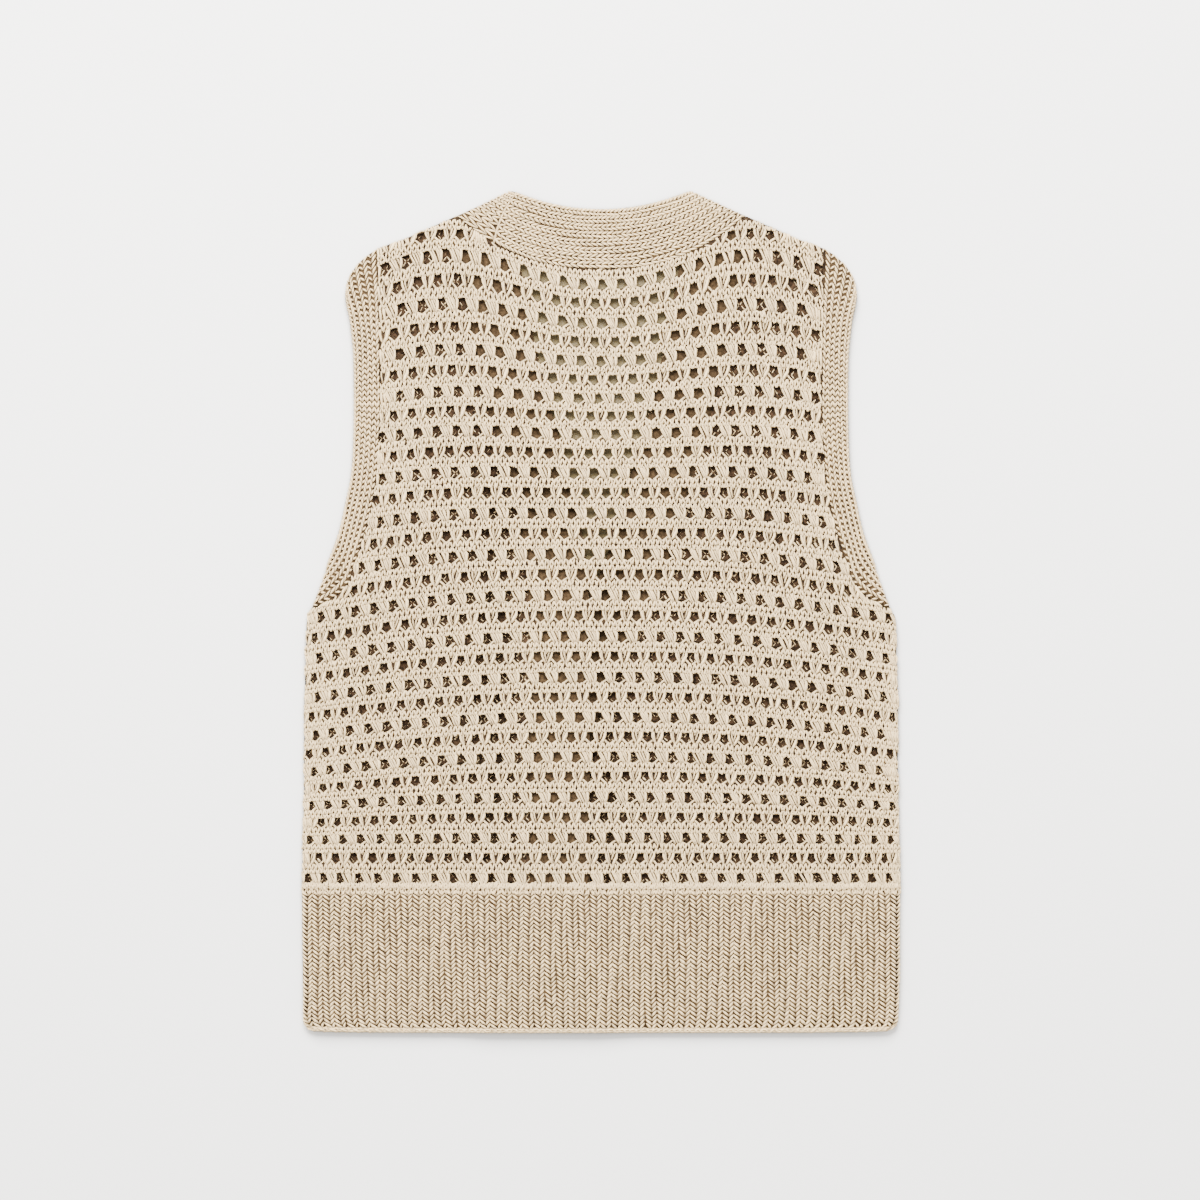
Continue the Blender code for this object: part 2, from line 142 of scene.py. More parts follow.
def unit(vectors: np.ndarray, least: float = 1e-9) -> np.ndarray:
    """Vectors of the same directions and of unit length.

    Args:
        vectors: The vectors, along the last axis.
        least: Length that shorter ones are taken to have.

    Returns:
        The unit vectors.
    """
    return vectors / np.maximum(np.linalg.norm(vectors, axis=-1, keepdims=True), least)


@dataclass(frozen=True)
class VestForm:
    """Sizes of the laid-out vest, in mm, and the form that they give its two layers."""

    length: float = 673.0
    seam_gap: float = 0.15
    middle: float = 3.5
    rounding: float = 6.0
    hem: float = 116.0
    band_width: float = 48.0
    neck_half: float = 72.8
    neck_drop: float = 15.4
    neck_seam: float = 610.4
    neck_seam_rise: float = 42.9
    neck_seam_power: float = 2.5
    slope: float = 0.446
    band_half: float = 116.0
    corner_half: float = 163.0
    seam_half: float = 180.0
    top_row: float = 600.0
    underarm_end: float = 372.0
    shoulder_end: float = 592.0
    outline: tuple = (
        (0, 231), (3, 235.5), (9, 238), (30, 238.4), (105, 239.2), (137, 238.8), (197, 237.4),
        (257, 237.4), (293, 236.4), (317, 235.8), (329, 235.2), (341, 233), (353, 227.4),
        (365, 221.2), (377, 216), (389, 211.6), (401, 207.6), (413, 204.8), (425, 202.4),
        (437, 199.6), (449, 197.8), (473, 196.4), (500, 196), (530, 196.2), (545, 196.8),
        (557, 198), (569, 199.4), (581, 202), (592, 203.6),
    )
    corner: tuple = ((169.5, 631.2), (182, 626), (195, 615.5), (202.8, 604), (205, 592))
    fullness: float = 1.4
    arm_seam: tuple = (
        (338, 232), (343, 221), (352, 207), (372, 198), (396, 190), (432, 182), (470, 178.5),
        (520, 177.5), (584, 178.5), (626.8, 180),
    )
    left_front_edge: tuple = (
        (0, -9), (300, -9), (350, -10), (392, -14), (424, -21), (464, -30), (504, -42),
        (550, -53), (598, -62), (640, -69), (673, -72.8),
    )
    right_front_edge: tuple = (
        (0, -57), (190, -57), (230, -54), (270, -45), (310, -28), (350, -8), (392, 9),
        (424, 18), (464, 29), (504, 41), (550, 51), (598, 60), (640, 68), (673, 72.8),
    )
    droop: tuple = (
        (116, 0), (138, 0), (170, 4), (203, 9), (236, 12.8), (284, 15.6), (334, 17.6),
        (350, 17.6), (430, 12), (552, 3), (611, 0),
    )
    join: float = -0.93
    join_slant: float = 0.19
    join_from: float = 0.35
    join_gap: float = 0.004
    lap: float = 3.1
    lap_side: tuple = (-84.0, -60.0)
    lap_top: tuple = (370.0, 450.0)
    back_over_lap: float = 2.2
    over_left: tuple = (-120.0, -84.0)
    over_right: tuple = (-6.0, 34.0)
    over_top: tuple = (420.0, 500.0)
    sag: float = 0.6
    sag_widths: tuple = (12.0, 30.0)
    level_share: float = 0.3
    least_opening: float = 0.3
    fold_room: float = 3.0
    slope_room: float = 1.6
    on_fold: float = 0.3
    far_off: float = 99.0
    clear: float = 0.1

    def half_width(self, h: np.ndarray) -> np.ndarray:
        """Half width of the vest at a height, up to the outer corner of the shoulder."""
        return curve(self.outline)(h) + self.fullness

    def seam_x(self, h: np.ndarray) -> np.ndarray:
        """Half width of the back at the seam of the armhole band."""
        return curve(self.arm_seam)(h)

    def shoulder(self, x: np.ndarray) -> np.ndarray:
        """Height of the shoulder fold at x, round its outer corner too."""
        size = np.abs(x)
        line = self.length - (size - self.neck_half) * self.slope
        start = self.length - (self.corner_half - self.neck_half) * self.slope
        places, heights = zip((self.corner_half, start), *self.corner)
        return np.where(size > self.corner_half, np.interp(size, places, heights), line)

    def neck_edge(self, x: np.ndarray) -> np.ndarray:
        """Height of the upper edge of the back neck band at x."""
        return self.length - self.neck_drop * (1.0 - (x / self.neck_half) ** 2)

    def neck_line(self, x: np.ndarray) -> np.ndarray:
        """Height of the seam between the back neck band and the net at x."""
        share = np.abs(x) / self.band_half
        return self.neck_seam + self.neck_seam_rise * share ** self.neck_seam_power

    def net_top(self, x: np.ndarray) -> np.ndarray:
        """Height where the back net ends at x."""
        return np.minimum(self.neck_line(x), self.shoulder(x)) - self.seam_gap

    def net_half(self, h: np.ndarray) -> np.ndarray:
        """Half width of the net at a height: the side fold, or the armhole seam above it."""
        low, wide = self.arm_seam[0]
        below = np.minimum(self.half_width(h), wide + (low - h))
        return np.where(h < low, below, self.seam_x(h) - self.seam_gap)

    def folds(self) -> tuple[np.ndarray, np.ndarray]:
        """Lines of the side fold and of the shoulder fold, each from its outer end."""
        heights = np.linspace(0.0, self.underarm_end, 40)
        side = np.column_stack([self.half_width(heights), heights])
        x = np.linspace(self.neck_half, self.corner_half, 4)
        straight = np.column_stack([x, self.shoulder(x)])
        corner = sample(np.vstack([straight[-1], np.array(self.corner)]), np.linspace(0.0, 1.0, 12))
        return side[::-1], np.vstack([straight, corner[1:]])[::-1]

    def fold_distance(self, x: np.ndarray, h: np.ndarray) -> tuple[np.ndarray, np.ndarray]:
        """Distance from plan points to the nearest fold, and the way inward from it.

        Args:
            x: Places across the vest.
            h: Heights above the hem edge.

        Returns:
            The distances, and the unit vectors in plan.
        """
        shape = x.shape
        p = np.stack([np.abs(x).ravel(), h.ravel()], axis=-1)
        px, ph = p[:, 0], p[:, 1]
        reach = self.rounding + self.fold_room
        near = (px > self.half_width(ph) - reach) & (ph < self.underarm_end + reach)
        near |= (ph > self.shoulder(px) - self.slope_room * reach) & (px > self.neck_half - reach)
        near |= (px > self.seam_half - reach) & (ph > self.shoulder_end - reach)
        q = p[near]
        best, way_in = np.full(len(q), np.inf), np.zeros(q.shape)
        for line in self.folds():
            for a, b in zip(line[:-1], line[1:]):
                run = b - a
                t = np.clip(((q - a) @ run) / (run @ run), 0.0, 1.0)
                away = q - (a + t[:, None] * run)
                d = np.linalg.norm(away, axis=1)
                across = np.array([run[1], -run[0]]) / np.linalg.norm(run)
                if across @ (np.array([0.0, self.length / 2]) - a) < 0:
                    across = -across
                sign = np.where(away @ across < 0, -1.0, 1.0)
                way = away * sign[:, None] / np.maximum(d, 1e-6)[:, None]
                way = np.where((d > self.on_fold)[:, None], way, across)
                closer = d < best
                way_in = np.where(closer[:, None], way, way_in)
                best = np.where(closer, d, best)
        distance, inward = np.full(len(p), self.far_off), np.zeros(p.shape)
        distance[near], inward[near] = best, way_in
        inward[:, 0] *= np.where(x.ravel() < 0, -1.0, 1.0)
        return distance.reshape(shape), inward.reshape(shape + (2,))

    def back_lift(self, x: np.ndarray, h: np.ndarray) -> np.ndarray:
        """Rise of the back over the lapped bands, less its sag into the V opening."""
        over = smooth(x, *self.over_left) * (1.0 - smooth(x, *self.over_right))
        over = over * (1.0 - smooth(h, *self.over_top))
        half = np.minimum(-curve(self.left_front_edge)(h), curve(self.right_front_edge)(h))
        opening = np.maximum(half - self.rounding, self.least_opening)
        beyond = np.abs(x) - self.level_share * opening
        sag = 1.0 - smooth(beyond, 0.0, (1.0 - self.level_share) * opening)
        return self.back_over_lap * over - self.sag * sag * smooth(opening, *self.sag_widths)

    def lap_lift(self, x: np.ndarray, h: np.ndarray) -> np.ndarray:
        """Rise of the left front where its band laps over the right band."""
        return self.lap * smooth(x, *self.lap_side) * (1.0 - smooth(h, *self.lap_top))

    def place(
        self, x: np.ndarray, h: np.ndarray, c: np.ndarray, layer: Layer, lapped: bool = False
    ) -> np.ndarray:
        """Points in space of plan points of one layer.

        Args:
            x: Places across the vest.
            h: Heights above the hem edge.
            c: Distances outward from the layer's outer face.
            layer: The layer that the points are in.
            lapped: Whether the piece lies over the right front's band.

        Returns:
            The points in metres.
        """
        d, inward = self.fold_distance(x, h)
        cosine = np.clip(1.0 - d / self.rounding, 0.0, 1.0)
        sine = np.sqrt(1.0 - cosine ** 2)
        px = x - inward[..., 0] * c * cosine
        py = h - inward[..., 1] * c * cosine
        if layer is Layer.BACK:
            z = self.middle + (self.middle + self.back_lift(x, h) + c) * sine
            z = np.where(sine < 1.0, np.maximum(z, self.middle + self.clear), z)
        else:
            z = self.middle - (self.middle + np.minimum(c, 0.0)) * sine
            z = np.where(sine < 1.0, np.minimum(z, self.middle - self.clear), z)
            if lapped:
                z = z + self.lap_lift(x, h)
        return np.stack([px, py - self.length / 2, z], axis=-1) * MM


FORM = VestForm()


class Shading:
    """Nodes of one new material."""

    def __init__(self, name: str) -> None:
        """Make the material.

        Args:
            name: Name of the material.
        """
        self.material = bpy.data.materials.new(name)
        self.material.use_nodes = True
        self.tree = self.material.node_tree
        self.shader = self.tree.nodes["Principled BSDF"]

    def fill(self, node: bpy.types.Node, inputs: dict) -> None:
        """Fill a node's inputs, each with a number or from another node's socket."""
        for label, value in inputs.items():
            if isinstance(value, bpy.types.NodeSocket):
                self.tree.links.new(value, node.inputs[label])
            else:
                node.inputs[label].default_value = value

    def node(self, kind: str, inputs: dict | None = None) -> bpy.types.Node:
        """New node of a kind, with inputs filled."""
        node = self.tree.nodes.new(f"ShaderNode{kind}")
        self.fill(node, inputs or {})
        return node

    def calc(self, kind: str, a: object, b: object = 0.0) -> bpy.types.NodeSocket:
        """Output of a Math node whose inputs are sockets or numbers."""
        node = self.node("Math", {0: a, 1: b})
        node.operation = kind
        return node.outputs[0]

    def noise(self, scale: float, detail: float) -> bpy.types.NodeSocket:
        """Noise in the piece's own coordinates."""
        place = self.node("TexCoord").outputs["Object"]
        inputs = {"Vector": place, "Scale": scale, "Detail": detail}
        return self.node("TexNoise", inputs).outputs["Fac"]

    def attribute(self, name: str) -> bpy.types.NodeSocket:
        """Value of an attribute of the mesh."""
        node = self.node("Attribute")
        node.attribute_name = name
        return node.outputs["Fac"]

    def ramp(
        self, factor: bpy.types.NodeSocket, *stops: tuple[float, tuple]
    ) -> bpy.types.NodeSocket:
        """Colour between stops, each a position and its colour."""
        node = self.node("ValToRGB", {0: factor})
        elements = node.color_ramp.elements
        for element, (position, color) in zip(elements, (stops[0], stops[-1])):
            element.position, element.color = position, (*color, 1.0)
        for position, color in stops[1:-1]:
            elements.new(position).color = (*color, 1.0)
        return node.outputs[0]

    def relief(self, height: bpy.types.NodeSocket, strength: float, distance: float) -> None:
        """Give the shader a bump."""
        bump = self.node("Bump", {"Strength": strength, "Distance": distance, "Height": height})
        self.fill(self.shader, {"Normal": bump.outputs[0]})


@dataclass(frozen=True)
class Finish:
    """Finish of a piece, whose material is made once."""

    name: str

    def material(self) -> bpy.types.Material:
        """The finish's material."""
        found = bpy.data.materials.get(self.name)
        if found:
            return found
        shading = Shading(self.name)
        self.shade(shading)
        return shading.material

    def shade(self, shading: Shading) -> None:
        """Make the finish's nodes."""
        raise NotImplementedError


@dataclass(frozen=True)
class YarnFinish(Finish):
    """Matt cotton yarn of a few plies, with painted shade in the depth of the stitches, on the
    strands' sides and undersides and between the plies.
    """

    pale: tuple[float, float, float]
    painted_shade_color: tuple[float, float, float]
    plies: float = 4.0
    turns: float = 120.0
    fibre_scale: float = 1400.0
    fibre_height: float = 0.7
    patch_scale: float = 38.0
    painted_shade_weight: float = 1.08
    ply_shade_weight: float = 0.34
    tone_weight: float = 0.2
    patch_weight: float = 0.24
    darkening: float = 0.56
    middle: float = 0.46
    specular: float = 0.22
    sheen: float = 0.12
    sheen_roughness: float = 0.6
    roughness: float = 0.88
    bump: float = 0.8
    bump_depth: float = 0.0009

    def shade(self, shading: Shading) -> None:
        """Make the nodes of the plies, the fibres, the patchy tone and the painted shade."""
        shading.fill(shading.shader, {
            "Roughness": self.roughness, "Specular IOR Level": self.specular,
            "Sheen Weight": self.sheen, "Sheen Roughness": self.sheen_roughness,
        })
        uv = shading.node("UVMap")
        uv.uv_map = "ply"
        place = shading.node("SeparateXYZ", {0: uv.outputs[0]}).outputs
        turn = shading.calc("ADD", shading.calc("MULTIPLY", place[0], self.plies * math.tau),
                            shading.calc("MULTIPLY", place[1], self.turns * math.tau))
        # The ply stripes darken the colour in the grooves between the plies as painted shade, and
        # they give the bump.
        stripe = shading.calc("ABSOLUTE", shading.calc("SINE", shading.calc("MULTIPLY", turn, 0.5)))
        # Painted shade: the depth attribute darks the colour towards the painted shade colour low
        # in the cloth and on the strands' sides; light is the ramp's factor of painted shade, ply
        # shade and random tone.
        light = shading.calc("MULTIPLY", shading.attribute("depth"), self.painted_shade_weight)
        for value, weight in (
            (stripe, self.ply_shade_weight), (shading.attribute("tone"), self.tone_weight),
            (shading.noise(self.patch_scale, 3.0), self.patch_weight),
        ):
            light = shading.calc("ADD", light, shading.calc("MULTIPLY", value, weight))
        light = shading.calc("SUBTRACT", light, self.darkening)
        mixed = tuple(0.25 * d + 0.70 * p for d, p in zip(self.painted_shade_color, self.pale))
        color = shading.ramp(light, (0.0, self.painted_shade_color), (self.middle, mixed), (1.0, self.pale))
        shading.fill(shading.shader, {"Base Color": color})
        fibre = shading.calc("MULTIPLY", shading.noise(self.fibre_scale, 2.0), self.fibre_height)
        shading.relief(shading.calc("ADD", stripe, fibre), self.bump, self.bump_depth)


@dataclass(frozen=True)
class GroundFinish(Finish):
    """Heart of the knit, seen only between its stitches, coloured dark as painted shade."""

    light: tuple[float, float, float]
    dark: tuple[float, float, float]
    scale: float = 420.0
    roughness: float = 0.95
    bump: float = 0.8
    bump_depth: float = 0.0006

    def shade(self, shading: Shading) -> None:
        """Make the nodes of the mottled ground, whose dark colour is painted shade."""
        noise = shading.noise(self.scale, 3.0)
        color = shading.ramp(noise, (0.35, self.dark), (0.65, self.light))
        inputs = {"Roughness": self.roughness, "Specular IOR Level": 0.1, "Base Color": color}
        shading.fill(shading.shader, inputs)
        shading.relief(noise, self.bump, self.bump_depth)


# The yarns' second colours and the grounds' dark colours are painted shade: in the depth of the
# stitches, between them and between the layers.
NET_YARN = YarnFinish("net_yarn", (0.96, 0.71, 0.375), (0.05, 0.028, 0.011))
RIB_YARN = YarnFinish("rib_yarn", (0.96, 0.705, 0.37), (0.055, 0.032, 0.014))
NET_GROUND_SHADE = GroundFinish("net_ground_shade", (0.034, 0.02, 0.01), (0.012, 0.007, 0.004))
RIB_GROUND_SHADE = GroundFinish("rib_ground_shade", (0.07, 0.043, 0.021), (0.025, 0.015, 0.007))
FRONT_GROUND_SHADE = GroundFinish("front_ground_shade", (0.06, 0.034, 0.018), (0.012, 0.007, 0.004))


@dataclass(frozen=True)
class Strand:
    """One strand of a stitch: its points, across, up and outward from the stitch's place."""

    points: tuple[tuple[float, float, float], ...]
    radii: tuple[float, ...]


def both_ways(strand: Strand) -> tuple[Strand, Strand]:
    """A strand and its mirror image across the stitch."""
    return strand, Strand(tuple((-x, y, c) for x, y, c in strand.points), strand.radii)


class YarnWork:
    """Strands of yarn that are knitted into one mesh."""

    SIDES = 4
    PROBE = 0.4
    TIP = 0.8
    # Depth at which each layer's painted shade is darkest, and the span over which it lightens, in
    # mm.
    DEEPEST = {Layer.BACK: 1.5, Layer.FRONT: 2.6}
    DEPTH_SPAN = 1.6

    def __init__(self, seed: int) -> None:
        """Start with no strands.

        Args:
            seed: Seed of the yarn's small irregularities.
        """
        self.random = np.random.default_rng(seed)
        self.corners: list[np.ndarray] = []
        self.fours: list[np.ndarray] = []
        self.threes: list[np.ndarray] = []
        self.four_uv: list[np.ndarray] = []
        self.three_uv: list[np.ndarray] = []
        self.depth: list[np.ndarray] = []
        self.tone: list[np.ndarray] = []
        self.count = 0

    def add(self, x: np.ndarray, h: np.ndarray, c: np.ndarray, radii: np.ndarray,
            layer: Layer, lapped: bool = False) -> None:
        """Lay strands along lines of plan points.

        Args:
            x: Places across the vest, a row of points for each strand.
            h: Heights of the same points.
            c: Their distances outward from the cloth's outer face.
            radii: Radius at each point.
            layer: The layer that they are in.
            lapped: Whether their piece lies over the right front's band.
        """
        if not len(x):
            return
        count, points = x.shape
        radii = np.broadcast_to(radii, x.shape) * MM
        if layer is Layer.FRONT:
            c = np.minimum(c, -radii / MM)
        centre = FORM.place(x, h, c, layer, lapped)
        up = unit(centre - FORM.place(x, h, c - self.PROBE, layer, lapped))
        along = unit(np.gradient(centre, axis=1))
        side = unit(np.cross(along, up))
        up = np.cross(side, along)
        k, last = self.SIDES, points * self.SIDES
        angle = np.arange(k) * math.tau / k
        ring = np.cos(angle)[:, None] * up[:, :, None] + np.sin(angle)[:, None] * side[:, :, None]
        ring = centre[:, :, None] + radii[..., None, None] * ring
        tips = np.stack([centre[:, 0] - along[:, 0] * radii[:, :1] * self.TIP,
                         centre[:, -1] + along[:, -1] * radii[:, -1:] * self.TIP], axis=1)
        corners = np.concatenate([ring.reshape(count, -1, 3), tips], axis=1)
        if layer is Layer.FRONT:
            corners[..., 2] = np.maximum(corners[..., 2], 0.0)
        each = corners.shape[1]
        i, j = np.meshgrid(np.arange(points - 1), np.arange(k), indexing="ij")
        i, j, n = i.ravel(), j.ravel(), (j.ravel() + 1) % k
        fours = np.column_stack([i * k + j, i * k + n, (i + 1) * k + n, (i + 1) * k + j])
        j = np.arange(k)
        n = (j + 1) % k
        threes = np.vstack([
            np.column_stack([np.full(k, last), n, j]),
            np.column_stack([np.full(k, last + 1), (points - 1) * k + j, (points - 1) * k + n]),
        ])
        start = self.count + each * np.arange(count)[:, None, None]
        self.corners.append(corners.reshape(-1, 3))
        self.fours.append((start + fours).reshape(-1, 4))
        self.threes.append((start + threes).reshape(-1, 3))
        self.count += each * count
        run = np.linalg.norm(np.diff(centre, axis=1), axis=-1)
        run = np.concatenate([np.zeros((count, 1)), np.cumsum(run, axis=1)], axis=1)
        run = run + self.random.uniform(0.0, 0.02, (count, 1))
        round_ = np.tile(np.arange(k) / k, points - 1)
        u = np.column_stack([round_, round_ + 1 / k, round_ + 1 / k, round_])
        u = np.broadcast_to(u, (count,) + u.shape)
        row = np.repeat(np.arange(points - 1), k)
        v = np.stack([run[:, row], run[:, row], run[:, row + 1], run[:, row + 1]], axis=-1)
        self.four_uv.append(np.stack([u, v], axis=-1).reshape(-1, 2))
        base = np.arange(k) / k
        u = np.vstack([np.column_stack([base + 0.5 / k, base + 1 / k, base]),
                       np.column_stack([base + 0.5 / k, base, base + 1 / k])])
        u = np.broadcast_to(u, (count,) + u.shape)
        v = np.repeat(np.stack([run[:, 0], run[:, -1]], axis=-1), k, axis=1)
        v = np.broadcast_to(v[..., None], v.shape + (3,))
        self.three_uv.append(np.stack([u, v], axis=-1).reshape(-1, 2))
        # Painted shade and highlight: the value falls deeper in the cloth, and each ring is
        # lightest at its crest and darkest underneath, or on the front layer lightest on both faces
        # and darkest at its sides.
        high = 0.5 * np.clip((c + self.DEEPEST[layer]) / self.DEPTH_SPAN, 0.0, 1.0)
        if layer is Layer.FRONT:
            crest = high[..., None] + 0.5 * np.abs(np.cos(angle))
        else:
            crest = high[..., None] + 0.25 + 0.25 * np.cos(angle)
        depth = np.concatenate([crest.reshape(count, -1), high[:, :1], high[:, -1:]], axis=1)
        self.depth.append(depth.ravel())
        self.tone.append(np.repeat(self.random.uniform(0.0, 1.0, count), each))

    def knit(self, name: str, finish: YarnFinish, slot: Slot) -> bpy.types.Object:
        """Make the piece of all the strands.

        Args:
            name: Name of the piece.
            finish: Its yarn.
            slot: The record's slot of its finish.

        Returns:
            The piece, which rides on the vest's body.
        """
        fours, threes = np.vstack(self.fours), np.vstack(self.threes)
        mesh = bpy.data.meshes.new(name)
        corners = np.vstack(self.corners)
        mesh.vertices.add(len(corners))
        mesh.vertices.foreach_set("co", corners.astype(np.float32).ravel())
        order = np.concatenate([fours.ravel(), threes.ravel()])
        mesh.loops.add(len(order))
        mesh.loops.foreach_set("vertex_index", order.astype(np.int32))
        mesh.polygons.add(len(fours) + len(threes))
        four_starts, three_starts = 4 * np.arange(len(fours)), 3 * np.arange(len(threes))
        starts = np.concatenate([four_starts, fours.size + three_starts])
        mesh.polygons.foreach_set("loop_start", starts.astype(np.int32))
        mesh.update(calc_edges=True)
        uv = mesh.uv_layers.new(name="ply")
        places = np.vstack(self.four_uv + self.three_uv).astype(np.float32)
        uv.data.foreach_set("uv", places.ravel())
        for label, values in (("depth", self.depth), ("tone", self.tone)):
            layer = mesh.attributes.new(label, "FLOAT", "POINT")
            layer.data.foreach_set("value", np.concatenate(values).astype(np.float32))
        mesh.validate()
        mesh.materials.append(finish.material())
        return ride(name, mesh, slot)


def put(name: str, data: bpy.types.ID) -> bpy.types.Object:
    """New object of some data, in the scene."""
    thing = bpy.data.objects.new(name, data)
    bpy.context.scene.collection.objects.link(thing)
    return thing


def ride(name: str, mesh: bpy.types.Mesh, slot: Slot) -> bpy.types.Object:
    """Make a mesh a piece of the vest, smooth shaded.

    Args:
        name: Name of the piece.
        mesh: Its mesh, in place.
        slot: The record's slot of its finish; not used.

    Returns:
        The piece.
    """
    piece = put(name, mesh)
    bpy.ops.object.select_all(action="DESELECT")
    piece.select_set(True)
    bpy.context.view_layer.objects.active = piece
    bpy.ops.object.shade_smooth()
    piece.select_set(False)
    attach(piece, BODY)
    triangles = sum(max(len(face.vertices) - 2, 0) for face in mesh.polygons)
    log.info("%s: %d triangles", name, triangles)
    return piece


def ground(name: str, outer: np.ndarray, inner: np.ndarray, keep: np.ndarray, closed: bool,
           finish: GroundFinish, slot: Slot) -> bpy.types.Object:
    """Closed thin cloth between an outer and an inner grid of points.

    Args:
        name: Name of the piece.
        outer: Grid of points of its outer face, in metres.
        inner: The same grid for its inner face.
        keep: Which of the grid's cells have cloth.
        closed: Whether the last row of the grid meets the first.
        finish: The cloth's finish.
        slot: The record's slot of its finish.

    Returns:
        The piece, which rides on the vest's body.
    """
    rows, columns = outer.shape[:2]
    number = np.arange(rows * columns).reshape(rows, columns)
    below = np.roll(number, -1, axis=0) if closed else number[1:]
    number = number if closed else number[:-1]
    cells = np.stack([number[:, :-1], number[:, 1:], below[:, 1:], below[:, :-1]], axis=-1)[keep]
    shift = rows * columns
    edges = np.stack([cells, np.roll(cells, -1, axis=1)], axis=-1).reshape(-1, 2)
    key = np.sort(edges, axis=1)
    _, back, times = np.unique(key, axis=0, return_inverse=True, return_counts=True)
    rim = edges[times[back.ravel()] == 1]
    walls = np.column_stack([rim[:, 1], rim[:, 0], rim[:, 0] + shift, rim[:, 1] + shift])
    faces = np.vstack([cells, cells[:, ::-1] + shift, walls])
    points = np.vstack([outer.reshape(-1, 3), inner.reshape(-1, 3)])
    used = np.unique(faces)
    index = np.zeros(len(points), int)
    index[used] = np.arange(len(used))
    mesh = bpy.data.meshes.new(name)
    mesh.from_pydata(points[used].tolist(), [], index[faces].tolist())
    mesh.validate()
    mesh.calc_loop_triangles()
    corners = points[used]
    a, b, c = corners[np.array([t.vertices for t in mesh.loop_triangles]).T]
    volume = np.einsum("ij,ij->i", a, np.cross(b, c)).sum()
    if volume < 0:
        mesh.flip_normals()
    mesh.materials.append(finish.material())
    return ride(name, mesh, slot)


GROUND_OUTER = -1.25
GROUND_INNER = -2.5


@dataclass
class HoleRows:
    """Rows and columns of eyelets of the open net, in mm."""

    row_pitch: float = 15.92
    half_hole: float = 4.5
    edge_room: float = 5.2
    seam_room: float = 3.2
    levels: tuple = (
        (0, 597.2), (3, 550.8), (6, 506), (8, 477.2), (12, 414), (16, 348.6), (20, 283),
        (25, 203.2), (30, 121.8),
    )
    pitches: tuple = ((122, 15.3), (330, 15.4), (430, 15.8), (540, 16.1), (600, 15.5))
    lean: float = 0.063
    lean_from: float = 548.0
    lean_start: float = 0.6
    squeeze: float = 0.0020
    squeeze_room: float = 52.0
    squeezing: tuple = ((120, 1.0), (440, 1.0), (520, 0.4), (570, -0.35), (600, -0.75), (640, -0.9))
    rise: float = 24.4
    rise_fade: float = 76.0
    rise_half: float = 120.0
    rise_power: float = 1.2
    fall: float = 0.3
    fall_half: float = 43.0
    droop_half: float = 224.0
    droop_power: float = 2.2

    def level(self, row: np.ndarray) -> np.ndarray:
        """Level of a row, numbered from 0 at the top."""
        row = np.asarray(row, float)
        above = np.minimum(row, 0.0) * -self.row_pitch
        return curve(self.levels)(np.maximum(row, 0.0)) + above

    def column(self, k: np.ndarray, level: np.ndarray) -> np.ndarray:
        """Place across the back of column k at a level, before the sides squeeze it."""
        lean = self.lean_start - self.lean * np.maximum(self.lean_from - level, 0.0)
        return lean + curve(self.pitches)(level) * k

    def squeezed(self, x: np.ndarray, half: np.ndarray, level: np.ndarray) -> np.ndarray:
        """Places across, drawn together near the sides and apart at the shoulders."""
        over = np.maximum(np.abs(x) - (half - self.squeeze_room), 0.0)
        return np.sign(x) * (np.abs(x) - self.squeeze * curve(self.squeezing)(level) * over ** 2)

    def height(self, level: np.ndarray, x: np.ndarray) -> np.ndarray:
        """Height at x of the row that crosses the middle of the back at a level."""
        size = np.abs(x)
        under = np.minimum(level, FORM.top_row)
        rise = self.rise * np.exp(-(FORM.top_row - under) / self.rise_fade)
        share = np.minimum(size / self.rise_half, 1.0)
        swell = ((1.0 - np.cos(np.pi * share)) / 2.0) ** self.rise_power
        fall = np.maximum(size - self.rise_half, 0.0) / self.fall_half
        swell = swell - self.fall * fall ** 2
        droop = curve(FORM.droop)(under) * (size / self.droop_half) ** self.droop_power
        return level + rise * np.maximum(swell, 0.0) - droop


SLANTED_HOLE = (
    Strand(((2.3, 5.2, -1.1), (3.9, 1.8, -0.6), (5.9, -1.8, -0.6), (7.4, -4.8, -1.2)),
           (0.8, 0.9, 0.9, 0.8)),
    Strand(((4.2, 5.5, -0.8), (5.9, 1.9, -0.35), (7.6, -1.6, -0.35), (9.0, -4.8, -1.0)),
           (0.75, 0.8, 0.8, 0.75)),
    Strand(((6.1, 5.6, -0.8), (7.8, 2.2, -0.4), (9.3, -1.2, -0.4), (10.5, -4.6, -1.0)),
           (0.75, 0.8, 0.8, 0.75)),
    Strand(((10.2, 5.4, -0.8), (11.6, 2.8, -0.3), (11.6, -1.0, -0.3), (10.8, -4.8, -1.0)),
           (0.9, 1.15, 1.15, 0.9)),
    Strand(((8.0, 5.6, -1.0), (9.4, 2.6, -0.7), (10.6, -0.9, -0.9)), (0.75, 0.8, 0.65)),
    Strand(((-4.4, 4.6, -1.1), (-1.2, 5.9, -0.8), (2.2, 5.2, -1.1)), (0.85, 0.95, 0.85)),
    Strand(((5.2, -1.9, -1.1), (0.6, -5.5, -0.9)), (0.85, 0.95)),
    Strand(((-4.6, -3.6, -1.1), (-0.2, -5.9, -0.9)), (0.85, 0.95)),
)
